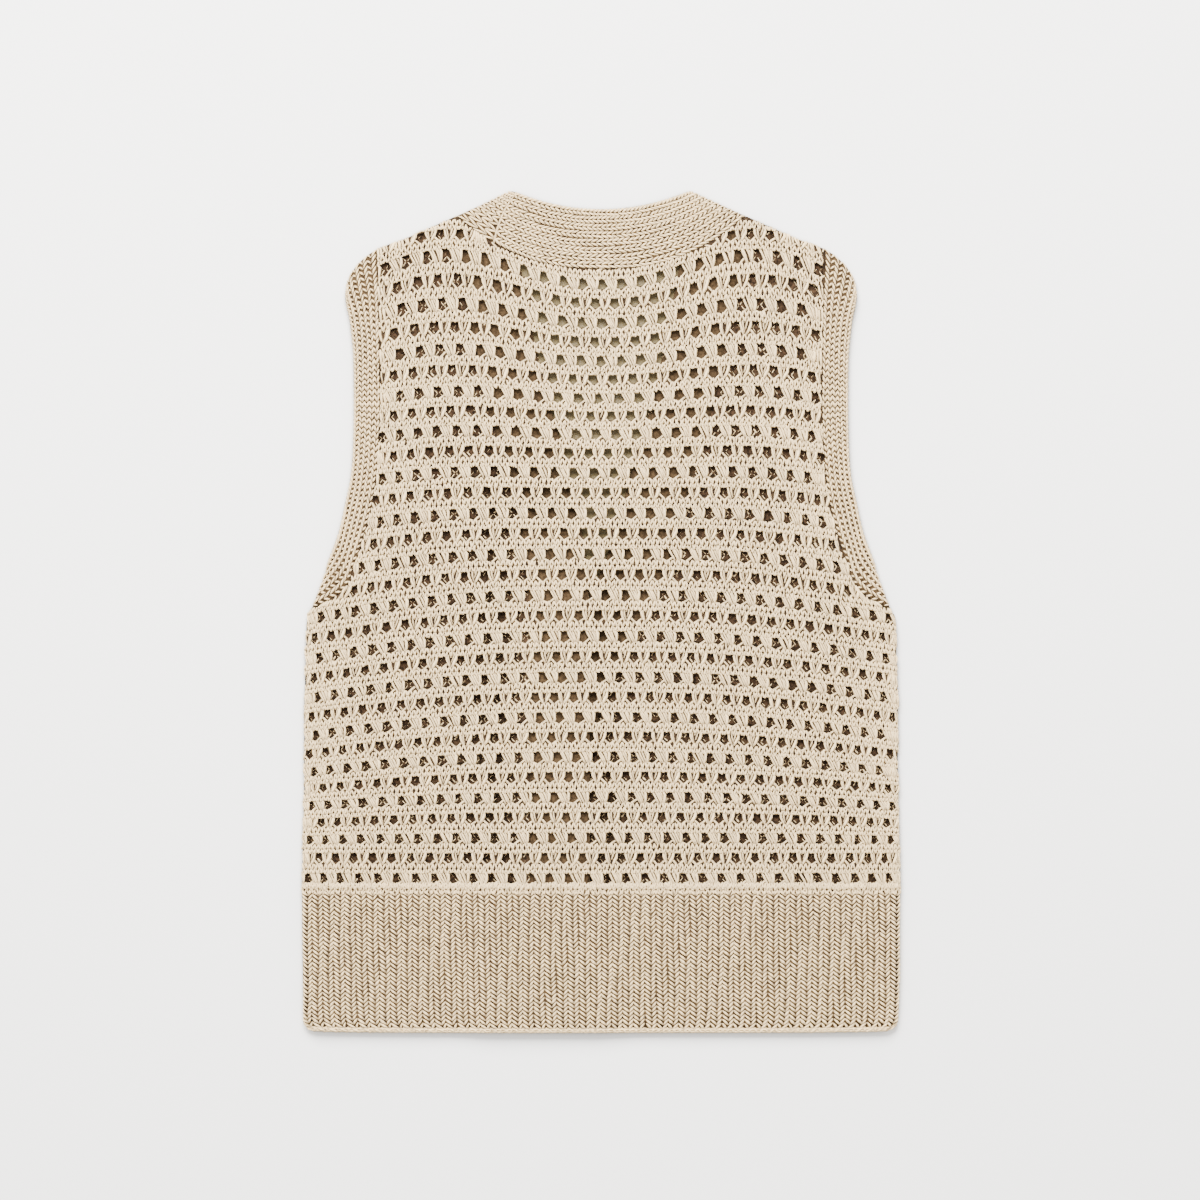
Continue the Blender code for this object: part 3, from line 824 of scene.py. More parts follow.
V_HOLE = (
    Strand(((3.7, 5.0, -0.8), (4.1, 1.4, -0.35), (5.3, -1.8, -0.35), (6.7, -4.6, -1.0)),
           (0.85, 0.95, 0.95, 0.85)),
    Strand(((11.9, 5.0, -0.7), (11.5, 1.6, -0.2), (9.9, -1.8, -0.2), (8.0, -4.8, -0.9)),
           (0.95, 1.25, 1.3, 1.0)),
    Strand(((5.6, 5.2, -1.0), (5.8, 1.6, -0.7), (7.1, -3.0, -1.0)), (0.65, 0.7, 0.65)),
    Strand(((9.9, 5.4, -1.0), (9.2, 2.4, -0.75), (8.2, -0.8, -0.9)), (0.65, 0.7, 0.6)),
    Strand(((8.2, 6.2, -0.9), (7.8, 4.6, -0.8), (7.5, 3.4, -1.0)), (0.8, 0.85, 0.7)),
    Strand(((-3.8, 5.0, -1.1), (0.0, 5.6, -0.8), (3.6, 5.0, -1.1)), (0.85, 0.95, 0.85)),
    Strand(((-4.9, -0.8, -1.1), (-0.6, -5.3, -0.8)), (0.85, 1.0)),
    Strand(((4.9, -2.0, -1.1), (0.9, -5.3, -0.8)), (0.85, 1.0)),
)
PLUG = (
    Strand(((-2.6, 5.0, -1.0), (-2.2, -5.0, -1.0)), (1.2, 1.2)),
    Strand(((-0.6, 4.8, -0.6), (0.4, -4.8, -0.6)), (1.1, 1.1)),
    Strand(((1.6, 5.0, -1.0), (3.0, -5.0, -1.0)), (1.2, 1.2)),
)
BAND_LEG = Strand(((-1.5, 1.75, -0.6), (-0.45, -1.65, -0.1)), (0.68, 0.9))
FRONT_SLANTED = (
    Strand(((2.2, 5.2, -1.3), (5.0, 0.2, -1.3), (7.8, -4.8, -1.3)), (1.0, 1.2, 1.0)),
    Strand(((5.0, 5.4, -1.2), (7.8, 0.4, -1.2), (10.2, -4.8, -1.2)), (1.0, 1.2, 1.0)),
    Strand(((9.4, 5.4, -1.3), (12.2, 0.4, -1.2), (11.8, -4.8, -1.3)), (1.0, 1.3, 1.0)),
)
FRONT_V = (
    Strand(((3.9, 5.0, -1.3), (4.4, 0.0, -1.2), (6.8, -4.8, -1.3)), (1.0, 1.2, 1.0)),
    Strand(((12.2, 5.0, -1.3), (11.2, 0.0, -1.2), (8.2, -4.8, -1.3)), (1.0, 1.3, 1.0)),
    Strand(((8.2, 6.0, -1.3), (7.8, 3.4, -1.2), (7.5, 0.0, -1.4)), (1.0, 1.2, 0.8)),
)
HOLE_CORNERS = {
    0: ((-4.0, 4.8), (1.9, 5.0), (4.6, -2.9), (-3.4, -4.2)),
    1: ((-3.4, 4.6), (3.0, 4.6), (3.2, -3.2), (-3.2, -2.9)),
}

STRAY = 0.12
THICKNESS_SPREAD = 0.07
LIFT_SPREAD = 0.08


@dataclass
class OpenNet:
    """Open net of one panel: slanted and V-sided eyelets in turn, between bands of stitches."""

    name: str
    node: str
    flat: tuple[float, float]
    area: float
    layer: Layer = Layer.BACK
    lapped: bool = False
    seed: int = 11
    rows: HoleRows = field(default_factory=HoleRows)
    columns: int = 19
    count: int = 31
    stitches: int = 4
    courses: int = 2
    jitter: float = 0.28
    slanted: tuple = SLANTED_HOLE
    v_sided: tuple = V_HOLE
    cloth_finish: GroundFinish = NET_GROUND_SHADE
    band_leg: Strand = BAND_LEG
    top_room: float = 4.8
    margin: float = 0.6
    inset: float = 0.3
    edge_zone: float = 1.2
    rims: tuple[float, float] = (4.5, -3.6)
    widest: float = 240.0

    def limits(self, h: np.ndarray) -> tuple[np.ndarray, np.ndarray]:
        """Left and right end of the net at a height."""
        half = FORM.net_half(h)
        return -half, half

    def top(self, x: np.ndarray) -> np.ndarray:
        """Height where the net ends at x."""
        return FORM.net_top(x)

    def height(self, level: np.ndarray, x: np.ndarray) -> np.ndarray:
        """Height at x of the row that crosses the panel at a level."""
        return self.rows.height(level, x)

    def hole_places(self, row: int) -> tuple[np.ndarray, np.ndarray]:
        """Columns of a row's eyelets, and which of them have room."""
        shift = 0.0 if row % 2 == 0 else -1.0 / 3.0
        k = np.arange(-self.columns, self.columns + 1) + shift
        x, h = self.spot(k, np.full(k.shape, float(self.rows.level(row))))
        low, high = self.limits(h)
        room = np.where(h > FORM.arm_seam[0][0], self.rows.seam_room, self.rows.edge_room)
        fits = (x > low + room) & (x < high - room) & (h < self.top(x) - self.top_room)
        return k, fits

    def spot(self, k: np.ndarray, level: np.ndarray, across: np.ndarray | float = 0.0,
             up: np.ndarray | float = 0.0) -> tuple[np.ndarray, np.ndarray]:
        """Plan point beside a place of the net.

        Args:
            k: Column, counted from the middle.
            level: Level of the row.
            across: Distance to its right.
            up: Distance above it.

        Returns:
            Its place across and its height.
        """
        x = self.rows.column(k, level) + across
        place = np.clip(x, -self.widest, self.widest)
        half = FORM.net_half(self.height(level + up, place))
        x = self.rows.squeezed(x, half, level)
        return x, self.height(level + up, x)

    def fill(self, work: YarnWork, strand: Strand, k: np.ndarray, level: np.ndarray) -> None:
        """Lay one strand of a stitch at many places.

        Args:
            work: The yarn work that it goes into.
            strand: The strand.
            k: Columns of the places.
            level: Levels of the places.
        """
        shape = np.array(strand.points)
        random, size = work.random, (len(k), len(shape))
        nudge = random.normal(0.0, self.jitter, (len(k), 2))
        thick = random.normal(1.0, THICKNESS_SPREAD, (len(k), 1))
        across = shape[:, 0] + nudge[:, :1] + random.normal(0.0, STRAY, size)
        up = shape[:, 1] + nudge[:, 1:] + random.normal(0.0, STRAY, size)
        x, h = self.spot(k[:, None], level[:, None], across, up)
        low, high = self.limits(h)
        top = self.top(x)
        mid_x, mid_h = x.mean(axis=1), h.mean(axis=1)
        keep = (mid_x > low.mean(axis=1) + self.margin) & (mid_x < high.mean(axis=1) - self.margin)
        keep &= (mid_h < top.mean(axis=1) - self.margin) & (mid_h > FORM.hem - self.edge_zone)
        x = np.clip(x, low + self.inset, high - self.inset)[keep]
        h = np.minimum(h, top - self.inset)[keep]
        c = np.broadcast_to(shape[:, 2], x.shape) + random.normal(0.0, LIFT_SPREAD, x.shape)
        work.add(x, h, c, np.array(strand.radii) * thick[keep], self.layer, self.lapped)

    def eyelets(self) -> bpy.types.Object:
        """Strands between and round the eyelets."""
        work = YarnWork(self.seed)
        for kind, strands in ((0, self.slanted), (1, self.v_sided)):
            ks, levels, open_ = [], [], []
            for row in range(-1, self.count):
                if row % 2 == kind:
                    k, fits = self.hole_places(row)
                    ks.append(k)
                    open_.append(fits)
                    levels.append(np.full(k.shape, float(self.rows.level(row))))
            k, level = np.concatenate(ks), np.concatenate(levels)
            for strand in strands:
                self.fill(work, strand, k, level)
            shut = ~np.concatenate(open_)
            for strand in PLUG:
                self.fill(work, strand, k[shut], level[shut])
        return work.knit(f"{self.name}_eyelets", NET_YARN, Slot.NET)

    def bands(self, part: str, first: int, last: int) -> bpy.types.Object:
        """Dense courses of small stitches between rows of eyelets.

        Args:
            part: What the piece is called after the net's name.
            first: Row above the first band.
            last: Row above the last band.

        Returns:
            The piece.
        """
        work = YarnWork(self.seed + 1 + first)
        reach = self.columns * self.stitches
        ks, levels = [], []
        for row in range(first, last + 1):
            upper, lower = self.rows.level(row), self.rows.level(row + 1)
            step = (upper - lower - 2 * self.rows.half_hole) / self.courses
            if row == self.count - 1:
                step = (upper - self.rows.half_hole - FORM.hem) / 1.5
            for course in range(self.courses):
                k = np.arange(-reach, reach + 1) / self.stitches
                k = k + 0.5 / self.stitches * (course % 2)
                ks.append(k)
                level = float(upper - self.rows.half_hole - (course + 0.5) * step)
                levels.append(np.full(k.shape, level))
        k, level = np.concatenate(ks), np.concatenate(levels)
        for strand in both_ways(self.band_leg):
            self.fill(work, strand, k, level)
        return work.knit(f"{self.name}_{part}", NET_YARN, Slot.NET)

    def ground(self) -> bpy.types.Object:
        """Thin ground of the net, open at every eyelet, dark with painted shade."""
        third = (np.arange(-3 * self.columns, 3 * self.columns + 2) - 0.5) / 3.0
        nothing = np.zeros(third.shape)
        levels, shifts, rises, opens = [FORM.length + 10.0], [nothing], [nothing], []
        for row in range(-3, self.count):
            _, fits = self.hole_places(row)
            holes = np.zeros(len(third) - 1, bool)
            cell = 3 * np.arange(2 * self.columns + 1) - (row % 2)
            fine = (cell >= 0) & (cell < len(holes)) & fits
            holes[cell[fine]] = True
            corner = HOLE_CORNERS[row % 2]
            level = float(self.rows.level(row))
            half = float(curve(self.rows.pitches)(level)) / 6.0
            hole = np.flatnonzero(holes)
            upper, lower = self.rims
            for left, right, edge in ((*corner[:2], upper), (corner[3], corner[2], lower)):
                shift, rise = np.zeros(third.shape), np.full(third.shape, edge)
                shift[hole], rise[hole] = left[0] + half, left[1]
                shift[hole + 1], rise[hole + 1] = right[0] - half, right[1]
                levels.append(level)
                shifts.append(shift)
                rises.append(rise)
            opens += [np.zeros(len(holes), bool), holes]
        levels.append(FORM.hem)
        shifts.append(nothing)
        rises.append(nothing + self.inset)
        opens.append(np.zeros(len(third) - 1, bool))
        grid = np.broadcast_to(third, (len(levels), len(third)))
        x, h = self.spot(grid, np.array(levels)[:, None], np.array(shifts), np.array(rises))
        high_up = h > self.top(x)
        h = np.clip(h, FORM.hem + self.inset, self.top(x))
        low, high = self.limits(h)
        left, right = x < low + self.edge_zone, x > high - self.edge_zone
        x = np.where(left, low, np.where(right, high, x))
        h = np.where(high_up, self.top(x), np.minimum(h, self.top(x)))
        keep = ~np.array(opens)
        for out in (left, right, high_up):
            keep &= ~(out[:-1, :-1] & out[:-1, 1:] & out[1:, 1:] & out[1:, :-1])
        faces = [FORM.place(x, h, np.full(x.shape, c), self.layer, self.lapped)
                 for c in (GROUND_OUTER, GROUND_INNER)]
        return ground(f"{self.name}_ground", *faces, keep, False, self.cloth_finish, Slot.NET)

    def build(self) -> None:
        """Make the net and hide its part of the CAD."""
        cloth = self.ground()
        stitches = [self.eyelets()]
        if self.layer is Layer.BACK:
            stitches += [self.bands("bands_upper", -3, 13),
                         self.bands("bands_lower", 14, self.count - 1)]
        else:
            stitches += [self.bands("bands", -3, self.count - 1)]
        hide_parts(self.node)


@dataclass
class FrontNet(OpenNet):
    """Open net of one front, from its side fold to the seam of its band."""

    layer: Layer = Layer.FRONT
    sign: float = 1.0
    stitches: int = 2
    edge: tuple = ()
    slanted: tuple = FRONT_SLANTED
    v_sided: tuple = FRONT_V
    cloth_finish: GroundFinish = FRONT_GROUND_SHADE
    band_leg: Strand = Strand(((-2.9, 1.3, -1.3), (-0.9, -1.0, -1.2)), (1.25, 1.35))

    def band_seam(self, h: np.ndarray) -> np.ndarray:
        """Place of the band's seam at a height."""
        heights = np.linspace(0.0, FORM.length, 120)
        _, seam = band_edges(self.edge, self.sign, heights)
        return np.interp(h, seam[:, 1], seam[:, 0]) + self.sign * FORM.seam_gap

    def limits(self, h: np.ndarray) -> tuple[np.ndarray, np.ndarray]:
        """Left and right end of the net at a height."""
        side, seam = self.sign * FORM.net_half(h), self.band_seam(h)
        return (seam, side) if self.sign > 0 else (side, seam)

    def top(self, x: np.ndarray) -> np.ndarray:
        """Height of the shoulder fold at x."""
        return FORM.shoulder(x)

    def height(self, level: np.ndarray, x: np.ndarray) -> np.ndarray:
        """Height at x of the row that crosses the front at a level."""
        return self.rows.height(level - 0.5 * self.rows.row_pitch, x)


def band_edges(edge: tuple, sign: float, heights: np.ndarray) -> tuple[np.ndarray, np.ndarray]:
    """Inner and outer edge of a front band at each height, square to its run.

    Args:
        edge: The front's edge, as pairs of height and place across.
        sign: Which side of its edge the band is on.
        heights: Heights along the edge.

    Returns:
        The two lines of plan points.
    """
    line = curve(edge)
    x = line(heights)
    slope = (line(heights + 1.0) - line(heights - 1.0)) / 2.0
    tilt = np.arctan(np.abs(slope))
    tilt = tilt + (math.atan(FORM.slope) - tilt) * smooth(heights, 0.93 * FORM.length, FORM.length)
    near = np.stack([x, heights], axis=-1)
    outward = np.stack([sign * np.cos(tilt), -np.sin(tilt)], axis=-1) * FORM.band_width
    return near, near + outward


# Strands of rib stitches are across in rib pitches, along in stitch pitches and outward in mm.
HEM_STITCH = (
    Strand(((-0.50, 0.62, -1.15), (-0.25, 0.04, 0.05), (0.02, -0.56, -1.0)), (0.55, 1.0, 0.62)),
    Strand(((0.48, 0.70, -1.25), (0.28, 0.02, -0.3), (0.08, -0.66, -1.15)), (0.55, 0.98, 0.6)),
)
CHAIN_STITCH = both_ways(
    Strand(((-0.45, 0.68, -1.1), (-0.26, 0.04, -0.1), (-0.07, -0.62, -1.0)), (0.55, 0.9, 0.66)))
ARM_STITCH = both_ways(
    Strand(((-0.48, 0.52, -1.2), (-0.27, 0.03, -0.1), (-0.05, -0.48, -1.0)), (0.52, 0.88, 0.6)))
PLAIN_STITCH = both_ways(Strand(((-0.40, 0.35, -1.2), (-0.14, -0.32, -1.1)), (1.0, 1.05)))
FRONT_HEM_STITCH = both_ways(Strand(((-0.38, 0.45, -1.3), (-0.14, -0.45, -1.2)), (1.1, 1.15)))
EDGE_ROLL = Strand(((0.045, -0.75, -1.7), (0.02, 0.0, -1.1), (0.06, 0.75, -1.5)), (0.75, 1.1, 0.8))
END_ROLL = Strand(((-0.7, 0.35, -0.5), (0.0, 0.0, 0.0), (0.7, -0.3, -0.4)), (0.8, 1.1, 0.85))
HEM_ROLLS = ((1.0, -0.9), (2.6, -0.6))
JOIN_ROLLS = ((0.003, -0.75),)
WAVES = ((0.07, 31.0, 0.7), (0.04, 11.0, 1.9))
END_ROOM = 0.2
SIDE_ROOM = 0.05


@dataclass
class Stretch:
    """Stretch of rib cloth on one layer, with its ribs side by side along its run."""

    plan: Plan
    start: float
    end: float
    ribs: int
    pitch: float
    layer: Layer
    lapped: bool = False
    lead: float = 0.0

    def middle_run(self) -> tuple[np.ndarray, np.ndarray]:
        """Places along the stretch's middle, and the length in mm up to each."""
        fine = np.linspace(self.start, self.end, 500)
        x, h = self.plan(fine, np.full(fine.shape, 0.5))
        return fine, np.insert(np.cumsum(np.hypot(np.diff(x), np.diff(h))), 0, 0.0)

    def width(self, at: float) -> float:
        """Width of the stretch at a place of its run, in mm."""
        place = np.full(1, at)
        left, right = self.plan(place, np.zeros(1)), self.plan(place, np.ones(1))
        return float(np.hypot(right[0] - left[0], right[1] - left[1])[0])

    def lay(self, work: YarnWork, stitch: tuple[Strand, ...]) -> None:
        """Knit the stretch's stitches.

        Args:
            work: The yarn work that they go into.
            stitch: The strands of one stitch.
        """
        fine, run = self.middle_run()
        rows = max(1, round((run[-1] - self.lead) / self.pitch))
        pitch = (run[-1] - self.lead) / rows
        along = self.lead + (np.arange(rows) + 0.5) * pitch
        s, rib = np.meshgrid(along, np.arange(self.ribs) + 0.5, indexing="ij")
        s, rib = s.ravel(), rib.ravel()
        random, width = work.random, self.width(self.start)
        slow = sum(size * np.sin(s / length + rib * turn) for size, length, turn in WAVES)
        for strand in stitch:
            shape = np.array(strand.points)
            stray = random.normal(0.0, STRAY, (len(s), 2, 1))
            at = s[:, None] - (shape[:, 1] * pitch + stray[:, 0] * 0.7)
            across = rib[:, None] + slow[:, None] + shape[:, 0] + stray[:, 1] * self.ribs / width
            at = np.clip(at, END_ROOM, run[-1] - END_ROOM)
            across = np.clip(across, SIDE_ROOM, self.ribs - SIDE_ROOM)
            x, h = self.plan(np.interp(at, run, fine), across / self.ribs)
            c = shape[:, 2] + random.normal(0.0, LIFT_SPREAD, x.shape)
            radii = np.array(strand.radii) * random.normal(1.0, THICKNESS_SPREAD, (len(s), 1))
            work.add(x, h, c, radii, self.layer, self.lapped)

    def edge(self, work: YarnWork, share: float, step: float) -> None:
        """Rolled edge along one side of the stretch, a chain of short stout strands.

        Args:
            work: The yarn work that it goes into.
            share: Which side, 0 or 1 across the ribs.
            step: Length of one strand's step, in mm.
        """
        fine, run = self.middle_run()
        count = max(1, round(run[-1] / step))
        s = (np.arange(count) + 0.5) * run[-1] / count
        shape = np.array(EDGE_ROLL.points)
        inward = -1.0 if share > 0.5 else 1.0
        at = np.clip(s[:, None] + shape[:, 1] * step, 0.0, run[-1])
        across = share + inward * shape[:, 0] * 5.0 / self.ribs
        x, h = self.plan(np.interp(at, run, fine), np.broadcast_to(across, at.shape))
        c = np.broadcast_to(shape[:, 2], at.shape)
        work.add(x, h, c, np.array(EDGE_ROLL.radii), self.layer, self.lapped)

    def cast_on(self, work: YarnWork, step: float) -> None:
        """Courses of small stitches across the start of the stretch, where the ribs begin.

        Args:
            work: The yarn work that they go into.
            step: Width of one stitch, in mm.
        """
        count = round(self.width(self.start) / step)
        for course, share in enumerate((0.3, 1.1)):
            w = (np.arange(count) + 0.5 * (course % 2) + 0.25)[:, None]
            for strand in both_ways(BAND_LEG):
                shape = np.array(strand.points)
                stray = work.random.normal(0.0, 0.35, (count, 2, len(shape)))
                across = (w + (shape[:, 0] + stray[:, 0]) / step) / count
                at = self.start + share * self.lead - shape[:, 1] - stray[:, 1]
                x, h = self.plan(at, np.clip(across, 0.002, 0.998))
                c = shape[:, 2] - 0.15 + work.random.normal(0.0, 0.25, x.shape)
                work.add(x, h, c, np.array(strand.radii), self.layer, self.lapped)

    def cast_off(self, work: YarnWork, step: float, radius: float, rolls: tuple) -> None:
        """Rolled edge across the end of the stretch.

        Args:
            work: The yarn work that it goes into.
            step: Length of one strand's step, in mm.
            radius: Its radius, in mm.
            rolls: For each roll its distance before the end and its height in the cloth.
        """
        count = max(1, round(self.width(self.end) / step))
        shape = np.array(END_ROLL.points)
        w = ((np.arange(count) + 0.5)[:, None] + shape[:, 0]) / count
        w = np.clip(w, 0.004, 0.996)
        for back, high in rolls:
            x, h = self.plan(np.full(w.shape, self.end - back), w)
            c = high + np.broadcast_to(shape[:, 2], w.shape)
            radii = np.array(END_ROLL.radii) * radius
            work.add(x, h + shape[:, 1], c, radii, self.layer, self.lapped)

    def grid(self, along: int, across: int, c: float) -> np.ndarray:
        """Grid of points of the stretch's ground, in metres."""
        places, shares = np.linspace(self.start, self.end, along), np.linspace(0.0, 1.0, across)
        x, h = self.plan(*np.meshgrid(places, shares, indexing="ij"))
        return FORM.place(x, h, np.full(x.shape, c), self.layer, self.lapped)


@dataclass
class RibPiece:
    """One piece of rib cloth, in one or more stretches."""

    name: str
    node: str
    flat: tuple[float, float]
    area: float
    stretches: list[Stretch]
    stitches: list[tuple[Strand, ...]]
    grids: list[tuple[int, int]]
    closed: bool = False
    edges: tuple[tuple[int, float], ...] = ()
    edge_step: float = 4.2
    seed: int = 40
    cast_off: bool = False
    join: bool = False
    cloth_finish: GroundFinish = RIB_GROUND_SHADE

    def build(self) -> None:
        """Make the piece's ground and stitches and hide its part of the CAD."""
        grids = []
        for c in (GROUND_OUTER, GROUND_INNER):
            parts = [s.grid(*size, c) for s, size in zip(self.stretches, self.grids)]
            grids.append(np.vstack(parts))
        rows, columns = grids[0].shape[:2]
        keep = np.ones((rows if self.closed else rows - 1, columns - 1), bool)
        cloth = ground(f"{self.name}_ground", *grids, keep, self.closed,
                       self.cloth_finish, Slot.RIB)
        for number, (stretch, stitch) in enumerate(zip(self.stretches, self.stitches)):
            work = YarnWork(self.seed + number)
            stretch.lay(work, stitch)
            for which, share in self.edges:
                if which == number:
                    stretch.edge(work, share, self.edge_step)
            if self.cast_off:
                stretch.cast_off(work, 4.4, 0.95, HEM_ROLLS)
            if stretch.lead:
                stretch.cast_on(work, 3.9)
            if self.join and number:
                stretch.cast_off(work, 3.2, 0.85, JOIN_ROLLS)
            part = f"{stretch.layer.value}_stitches" if len(self.stretches) > 1 else "stitches"
            work.knit(f"{self.name}_{part}", RIB_YARN, Slot.RIB)
        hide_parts(self.node)


def hem_plan(low: Line, high: Line) -> Plan:
    """Plan of a hem between two edges.

    Args:
        low: Left edge at a height.
        high: Right edge at a height.

    Returns:
        Function of depth below the hem's top and share across.
    """
    def plan(t: np.ndarray, w: np.ndarray) -> tuple[np.ndarray, np.ndarray]:
        """Plan point at a depth below the hem's top."""
        h = FORM.hem - t * (1.0 + 0.012 * (1.0 - (2.0 * w - 1.0) ** 6))
        return low(h) + w * (high(h) - low(h)), h

    return plan


HEM_PITCH = 3.48
HEM_RIB = 8.88
HEM_SEAM = 0.3
BAND_RIBS = 8
BAND_PITCH = 4.1
BAND_END = 0.6


def back_hem() -> RibPiece:
    """Ribbed hem of the back."""
    plan = hem_plan(lambda h: -FORM.half_width(h), FORM.half_width)
    stretch = Stretch(plan, 0.0, FORM.hem, 54, HEM_PITCH, Layer.BACK, lead=3.8)
    return RibPiece("back_hem_rib", "back_hem_rib", (0.477, 0.116), 0.0553, [stretch],
                    [HEM_STITCH], [(8, 60)], cast_off=True)


def front_hem(
    name: str, edge: tuple, sign: float, lapped: bool, flat: tuple[float, float]
) -> RibPiece:
    """Ribbed hem of one front."""
    def seam(h: np.ndarray) -> np.ndarray:
        """Seam of the hem with its band."""
        return curve(edge)(h) + sign * (FORM.band_width + HEM_SEAM)

    def side(h: np.ndarray) -> np.ndarray:
        """Side fold of the hem."""
        return sign * FORM.half_width(h)

    plan = hem_plan(seam, side) if sign > 0 else hem_plan(side, seam)
    ribs = round(flat[0] * 1000 / HEM_RIB)
    stretch = Stretch(plan, 0.0, FORM.hem, ribs, HEM_PITCH, Layer.FRONT, lapped)
    return RibPiece(name, name, flat, flat[0] * flat[1], [stretch], [FRONT_HEM_STITCH], [(8, 30)],
                    cloth_finish=FRONT_GROUND_SHADE, cast_off=True)


def front_band_plan(edge: tuple, sign: float) -> Plan:
    """Plan of a front band by height along its edge and share across."""
    def plan(t: np.ndarray, w: np.ndarray) -> tuple[np.ndarray, np.ndarray]:
        """Plan point of the band."""
        near, far = band_edges(edge, sign, t)
        p = near + w[..., None] * (far - near)
        return p[..., 0], p[..., 1]

    return plan


def neck_point(share: np.ndarray, w: np.ndarray) -> tuple[np.ndarray, np.ndarray]:
    """Plan point of the back neck band by share of its half length and share across."""
    ax, bx = share * FORM.neck_half, share * FORM.band_half
    ah, bh = FORM.neck_edge(ax), FORM.neck_line(bx)
    return ax + w * (bx - ax), ah + w * (bh - ah)


def neck_plan(t: np.ndarray, w: np.ndarray) -> tuple[np.ndarray, np.ndarray]:
    """Plan point of the neck band, whose end is slanted at the join."""
    return neck_point(t + FORM.join_slant * w * smooth(-t, FORM.join_from, -FORM.join), w)


def corner_plan(t: np.ndarray, w: np.ndarray) -> tuple[np.ndarray, np.ndarray]:
    """Plan point of the left band's end behind the shoulder, by share of its run."""
    return neck_point(-1.0 + t * (1.0 + FORM.join - FORM.join_gap + FORM.join_slant * w), w)


def front_band(edge: tuple, sign: float, lapped: bool) -> Stretch:
    """Band up one front."""
    plan = front_band_plan(edge, sign)
    end = FORM.length - BAND_END
    return Stretch(plan, 0.0, end, BAND_RIBS, BAND_PITCH, Layer.FRONT, lapped)


def right_band() -> RibPiece:
    """Right front band with the whole back neck band."""
    front = front_band(FORM.right_front_edge, 1.0, False)
    neck = Stretch(neck_plan, 1.0, FORM.join + FORM.join_gap, BAND_RIBS, BAND_PITCH, Layer.BACK)
    return RibPiece(
        "right_front_and_neck_band", "right_front_and_neck_band", (0.048, 0.874), 0.0416,
        [front, neck], [PLAIN_STITCH, CHAIN_STITCH], [(60, 9), (50, 9)],
        edges=((1, 0.0),), join=True,
    )


def left_band() -> RibPiece:
    """Left front band, which meets the neck band behind the left shoulder."""
    front = front_band(FORM.left_front_edge, -1.0, True)
    neck = Stretch(corner_plan, 0.0, 1.0, BAND_RIBS, BAND_PITCH, Layer.BACK)
    return RibPiece(
        "left_front_band", "left_front_band", (0.048, 0.675), 0.0323,
        [front, neck], [PLAIN_STITCH, CHAIN_STITCH], [(60, 9), (6, 9)],
    )


def armhole_plan(sign: float, shoulder_reach: float = 22.0, underarm_reach: float = 12.0) -> Plan:
    """Plan of an armhole band, from the shoulder fold down to the underarm fold."""
    heights = np.linspace(FORM.shoulder_end, FORM.underarm_end, 120)
    rim = np.column_stack([FORM.half_width(heights), heights])
    heights = np.linspace(FORM.arm_seam[-1][0], FORM.arm_seam[0][0], 120)
    seam = np.column_stack([FORM.seam_x(heights), heights])
    under, over = FORM.folds()
    over = over[::-1]
    over = over[over[:, 0] >= FORM.seam_half - 1.0]
    under = under[::-1]
    under = under[under[:, 1] >= FORM.arm_seam[0][0]]
    run = np.linalg.norm(np.diff(rim, axis=0), axis=1).sum()

    def plan(t: np.ndarray, w: np.ndarray) -> tuple[np.ndarray, np.ndarray]:
        """Plan point of the band."""
        a, b = sample(seam, t), sample(rim, t)
        top, low = sample(over, w), sample(under, w)
        wide = w[..., None]
        top = top - (over[0] + wide * (over[-1] - over[0]))
        low = low - (under[0] + wide * (under[-1] - under[0]))
        near = np.exp(-((t * run / shoulder_reach) ** 2))[..., None]
        far = np.exp(-(((1 - t) * run / underarm_reach) ** 2))[..., None]
        p = a + wide * (b - a) + near * top + far * low
        return sign * p[..., 0], p[..., 1]

    return plan


def armhole_band(name: str, sign: float, seed: int) -> RibPiece:
    """Band all round one armhole."""
    plan = armhole_plan(sign)
    back = Stretch(plan, 0.0, 1.0, 5, 4.4, Layer.BACK)
    front = Stretch(plan, 1.0, 0.0, 5, 4.4, Layer.FRONT)
    return RibPiece(name, name, (0.030, 0.536), 0.0105, [back, front], [ARM_STITCH, PLAIN_STITCH],
                    [(50, 7), (50, 7)], True, ((0, 1.0), (1, 1.0)), 4.6, seed)


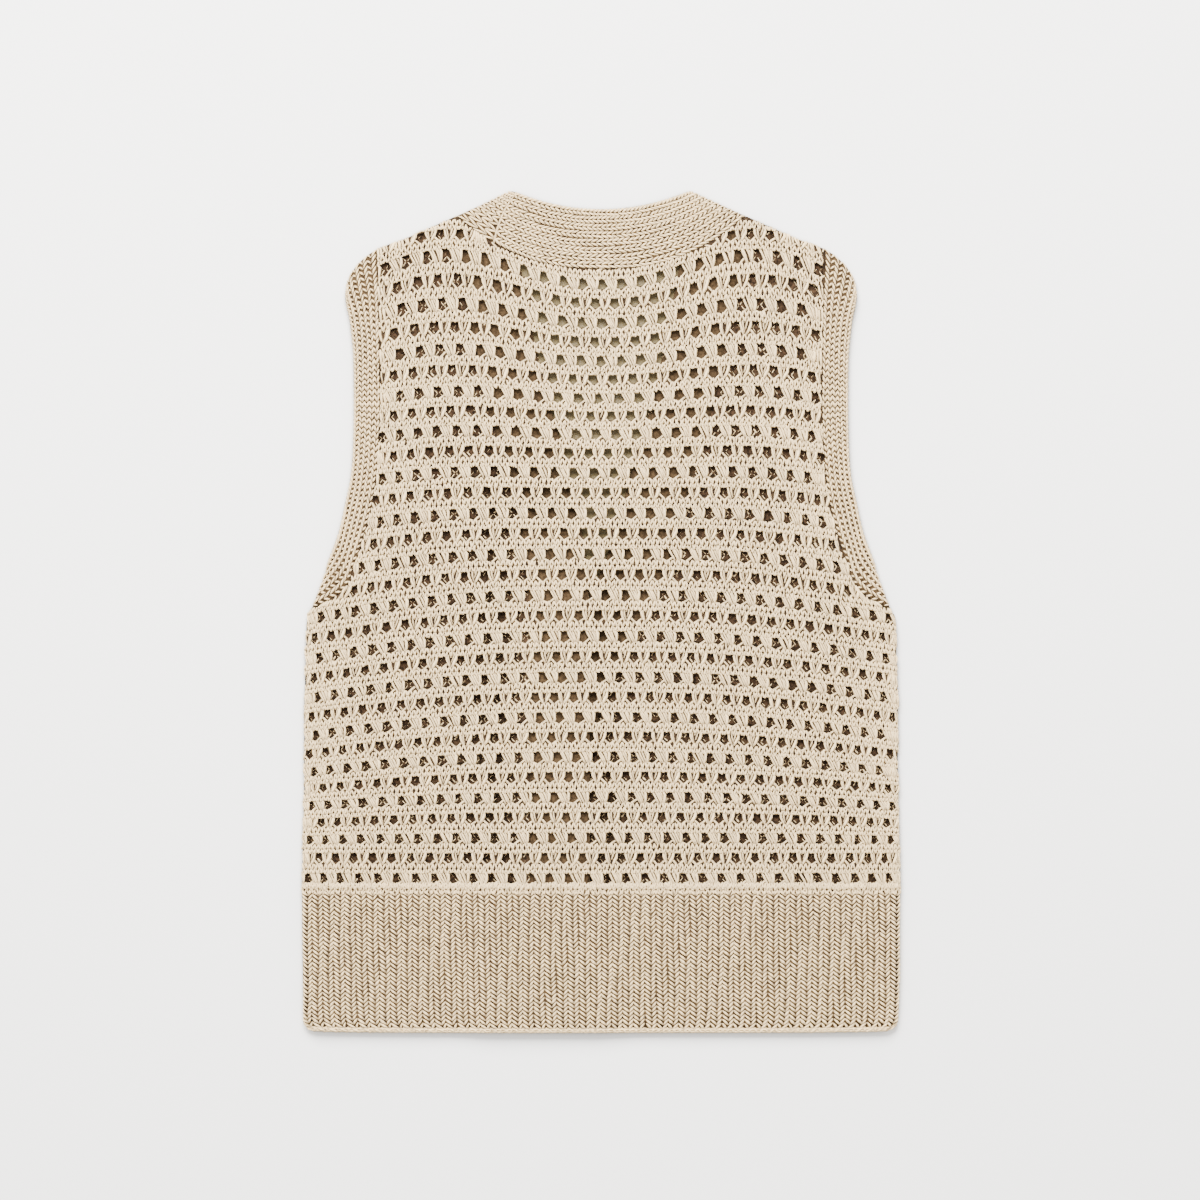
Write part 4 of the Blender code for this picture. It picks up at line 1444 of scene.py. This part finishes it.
@dataclass
class Studio:
    """Pale floor with painted shade close under the cloth, soft light from above the neck, and the
    camera straight above the vest.
    """

    distance: float = 3.2
    frame_width: float = 0.96
    centre: tuple[float, float] = (-0.0008, 0.0084)
    cloth: float = 0.007
    under_cloth: float = 0.022
    daylight: tuple[float, float, float] = (1.0, 0.985, 0.96)
    paper: tuple[float, float, float] = (0.80, 0.797, 0.792)
    shade: tuple[float, float, float] = (0.19, 0.145, 0.072)

    def floor(self) -> None:
        """Pale floor, with painted shade only close under the cloth, as seen through the neck's
        eyelets.
        """
        bpy.ops.object.select_all(action="DESELECT")
        bpy.ops.mesh.primitive_plane_add(size=8.0, location=(0.0, 0.0, -0.0004))
        floor = bpy.context.object
        floor.name = "studio_floor"
        shading = Shading("studio_paper")
        # Painted shade: ambient occlusion turns the floor's colour to the shade colour where the
        # cloth lies close over it.
        near = shading.node("AmbientOcclusion", {"Distance": self.under_cloth})
        near.samples = 12
        color = shading.ramp(near.outputs["AO"], (0.42, self.shade), (0.62, self.paper))
        inputs = {"Base Color": color, "Roughness": 0.9, "Specular IOR Level": 0.1}
        shading.fill(shading.shader, inputs)
        floor.data.materials.append(shading.material)
        floor.select_set(False)

    def light(
        self, name: str, place: tuple[float, float, float], size: float, power: float
    ) -> None:
        """A soft square light that faces the vest.

        Args:
            name: Name of the light.
            place: Where it stands.
            size: Length of its side.
            power: Its power in watts.
        """
        lamp = bpy.data.lights.new(name, "AREA")
        lamp.size, lamp.energy = size, power
        lamp.color = self.daylight
        thing = put(name, lamp)
        thing.location = place
        thing.rotation_euler = (-Vector(place)).to_track_quat("-Z", "Y").to_euler()

    def camera(self) -> None:
        """Camera straight above the vest, with a long lens."""
        data = bpy.data.cameras.new("camera")
        data.sensor_width = 36.0
        data.lens = data.sensor_width * self.distance / self.frame_width
        thing = put("camera", data)
        thing.location = (*self.centre, self.cloth + self.distance)
        bpy.context.scene.camera = thing

    def build(self) -> None:
        """Set up the floor, lights and camera."""
        self.floor()
        self.light("key", (-0.35, 2.1, 2.1), 2.0, 570.0)
        world = bpy.context.scene.world or bpy.data.worlds.new("studio")
        bpy.context.scene.world = world
        world.use_nodes = True
        sky = world.node_tree.nodes.get("Background")
        sky.inputs["Color"].default_value = (*self.daylight, 1.0)
        sky.inputs["Strength"].default_value = 2.0
        self.camera()


def main() -> None:
    """Build the vest's pieces in order, then the studio."""
    logging.basicConfig(level=logging.INFO, format="%(name)s: %(message)s")
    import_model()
    OpenNet("back_net", "back_panel", (0.479, 0.537), 0.2110).build()
    FrontNet("left_front_net", "left_front_panel", (0.181, 0.537), 0.0684, lapped=True, sign=-1.0,
             edge=FORM.left_front_edge, seed=31).build()
    FrontNet("right_front_net", "right_front_panel", (0.247, 0.537), 0.0814, sign=1.0,
             edge=FORM.right_front_edge, seed=36).build()
    back_hem().build()
    front_hem("left_front_hem_rib", FORM.left_front_edge, -1.0, True, (0.181, 0.117)).build()
    front_hem("right_front_hem_rib", FORM.right_front_edge, 1.0, False, (0.246, 0.117)).build()
    left_band().build()
    right_band().build()
    armhole_band("left_armhole_band", -1.0, 60).build()
    armhole_band("right_armhole_band", 1.0, 64).build()
    Studio().build()


if __name__ == "__main__":
    main()
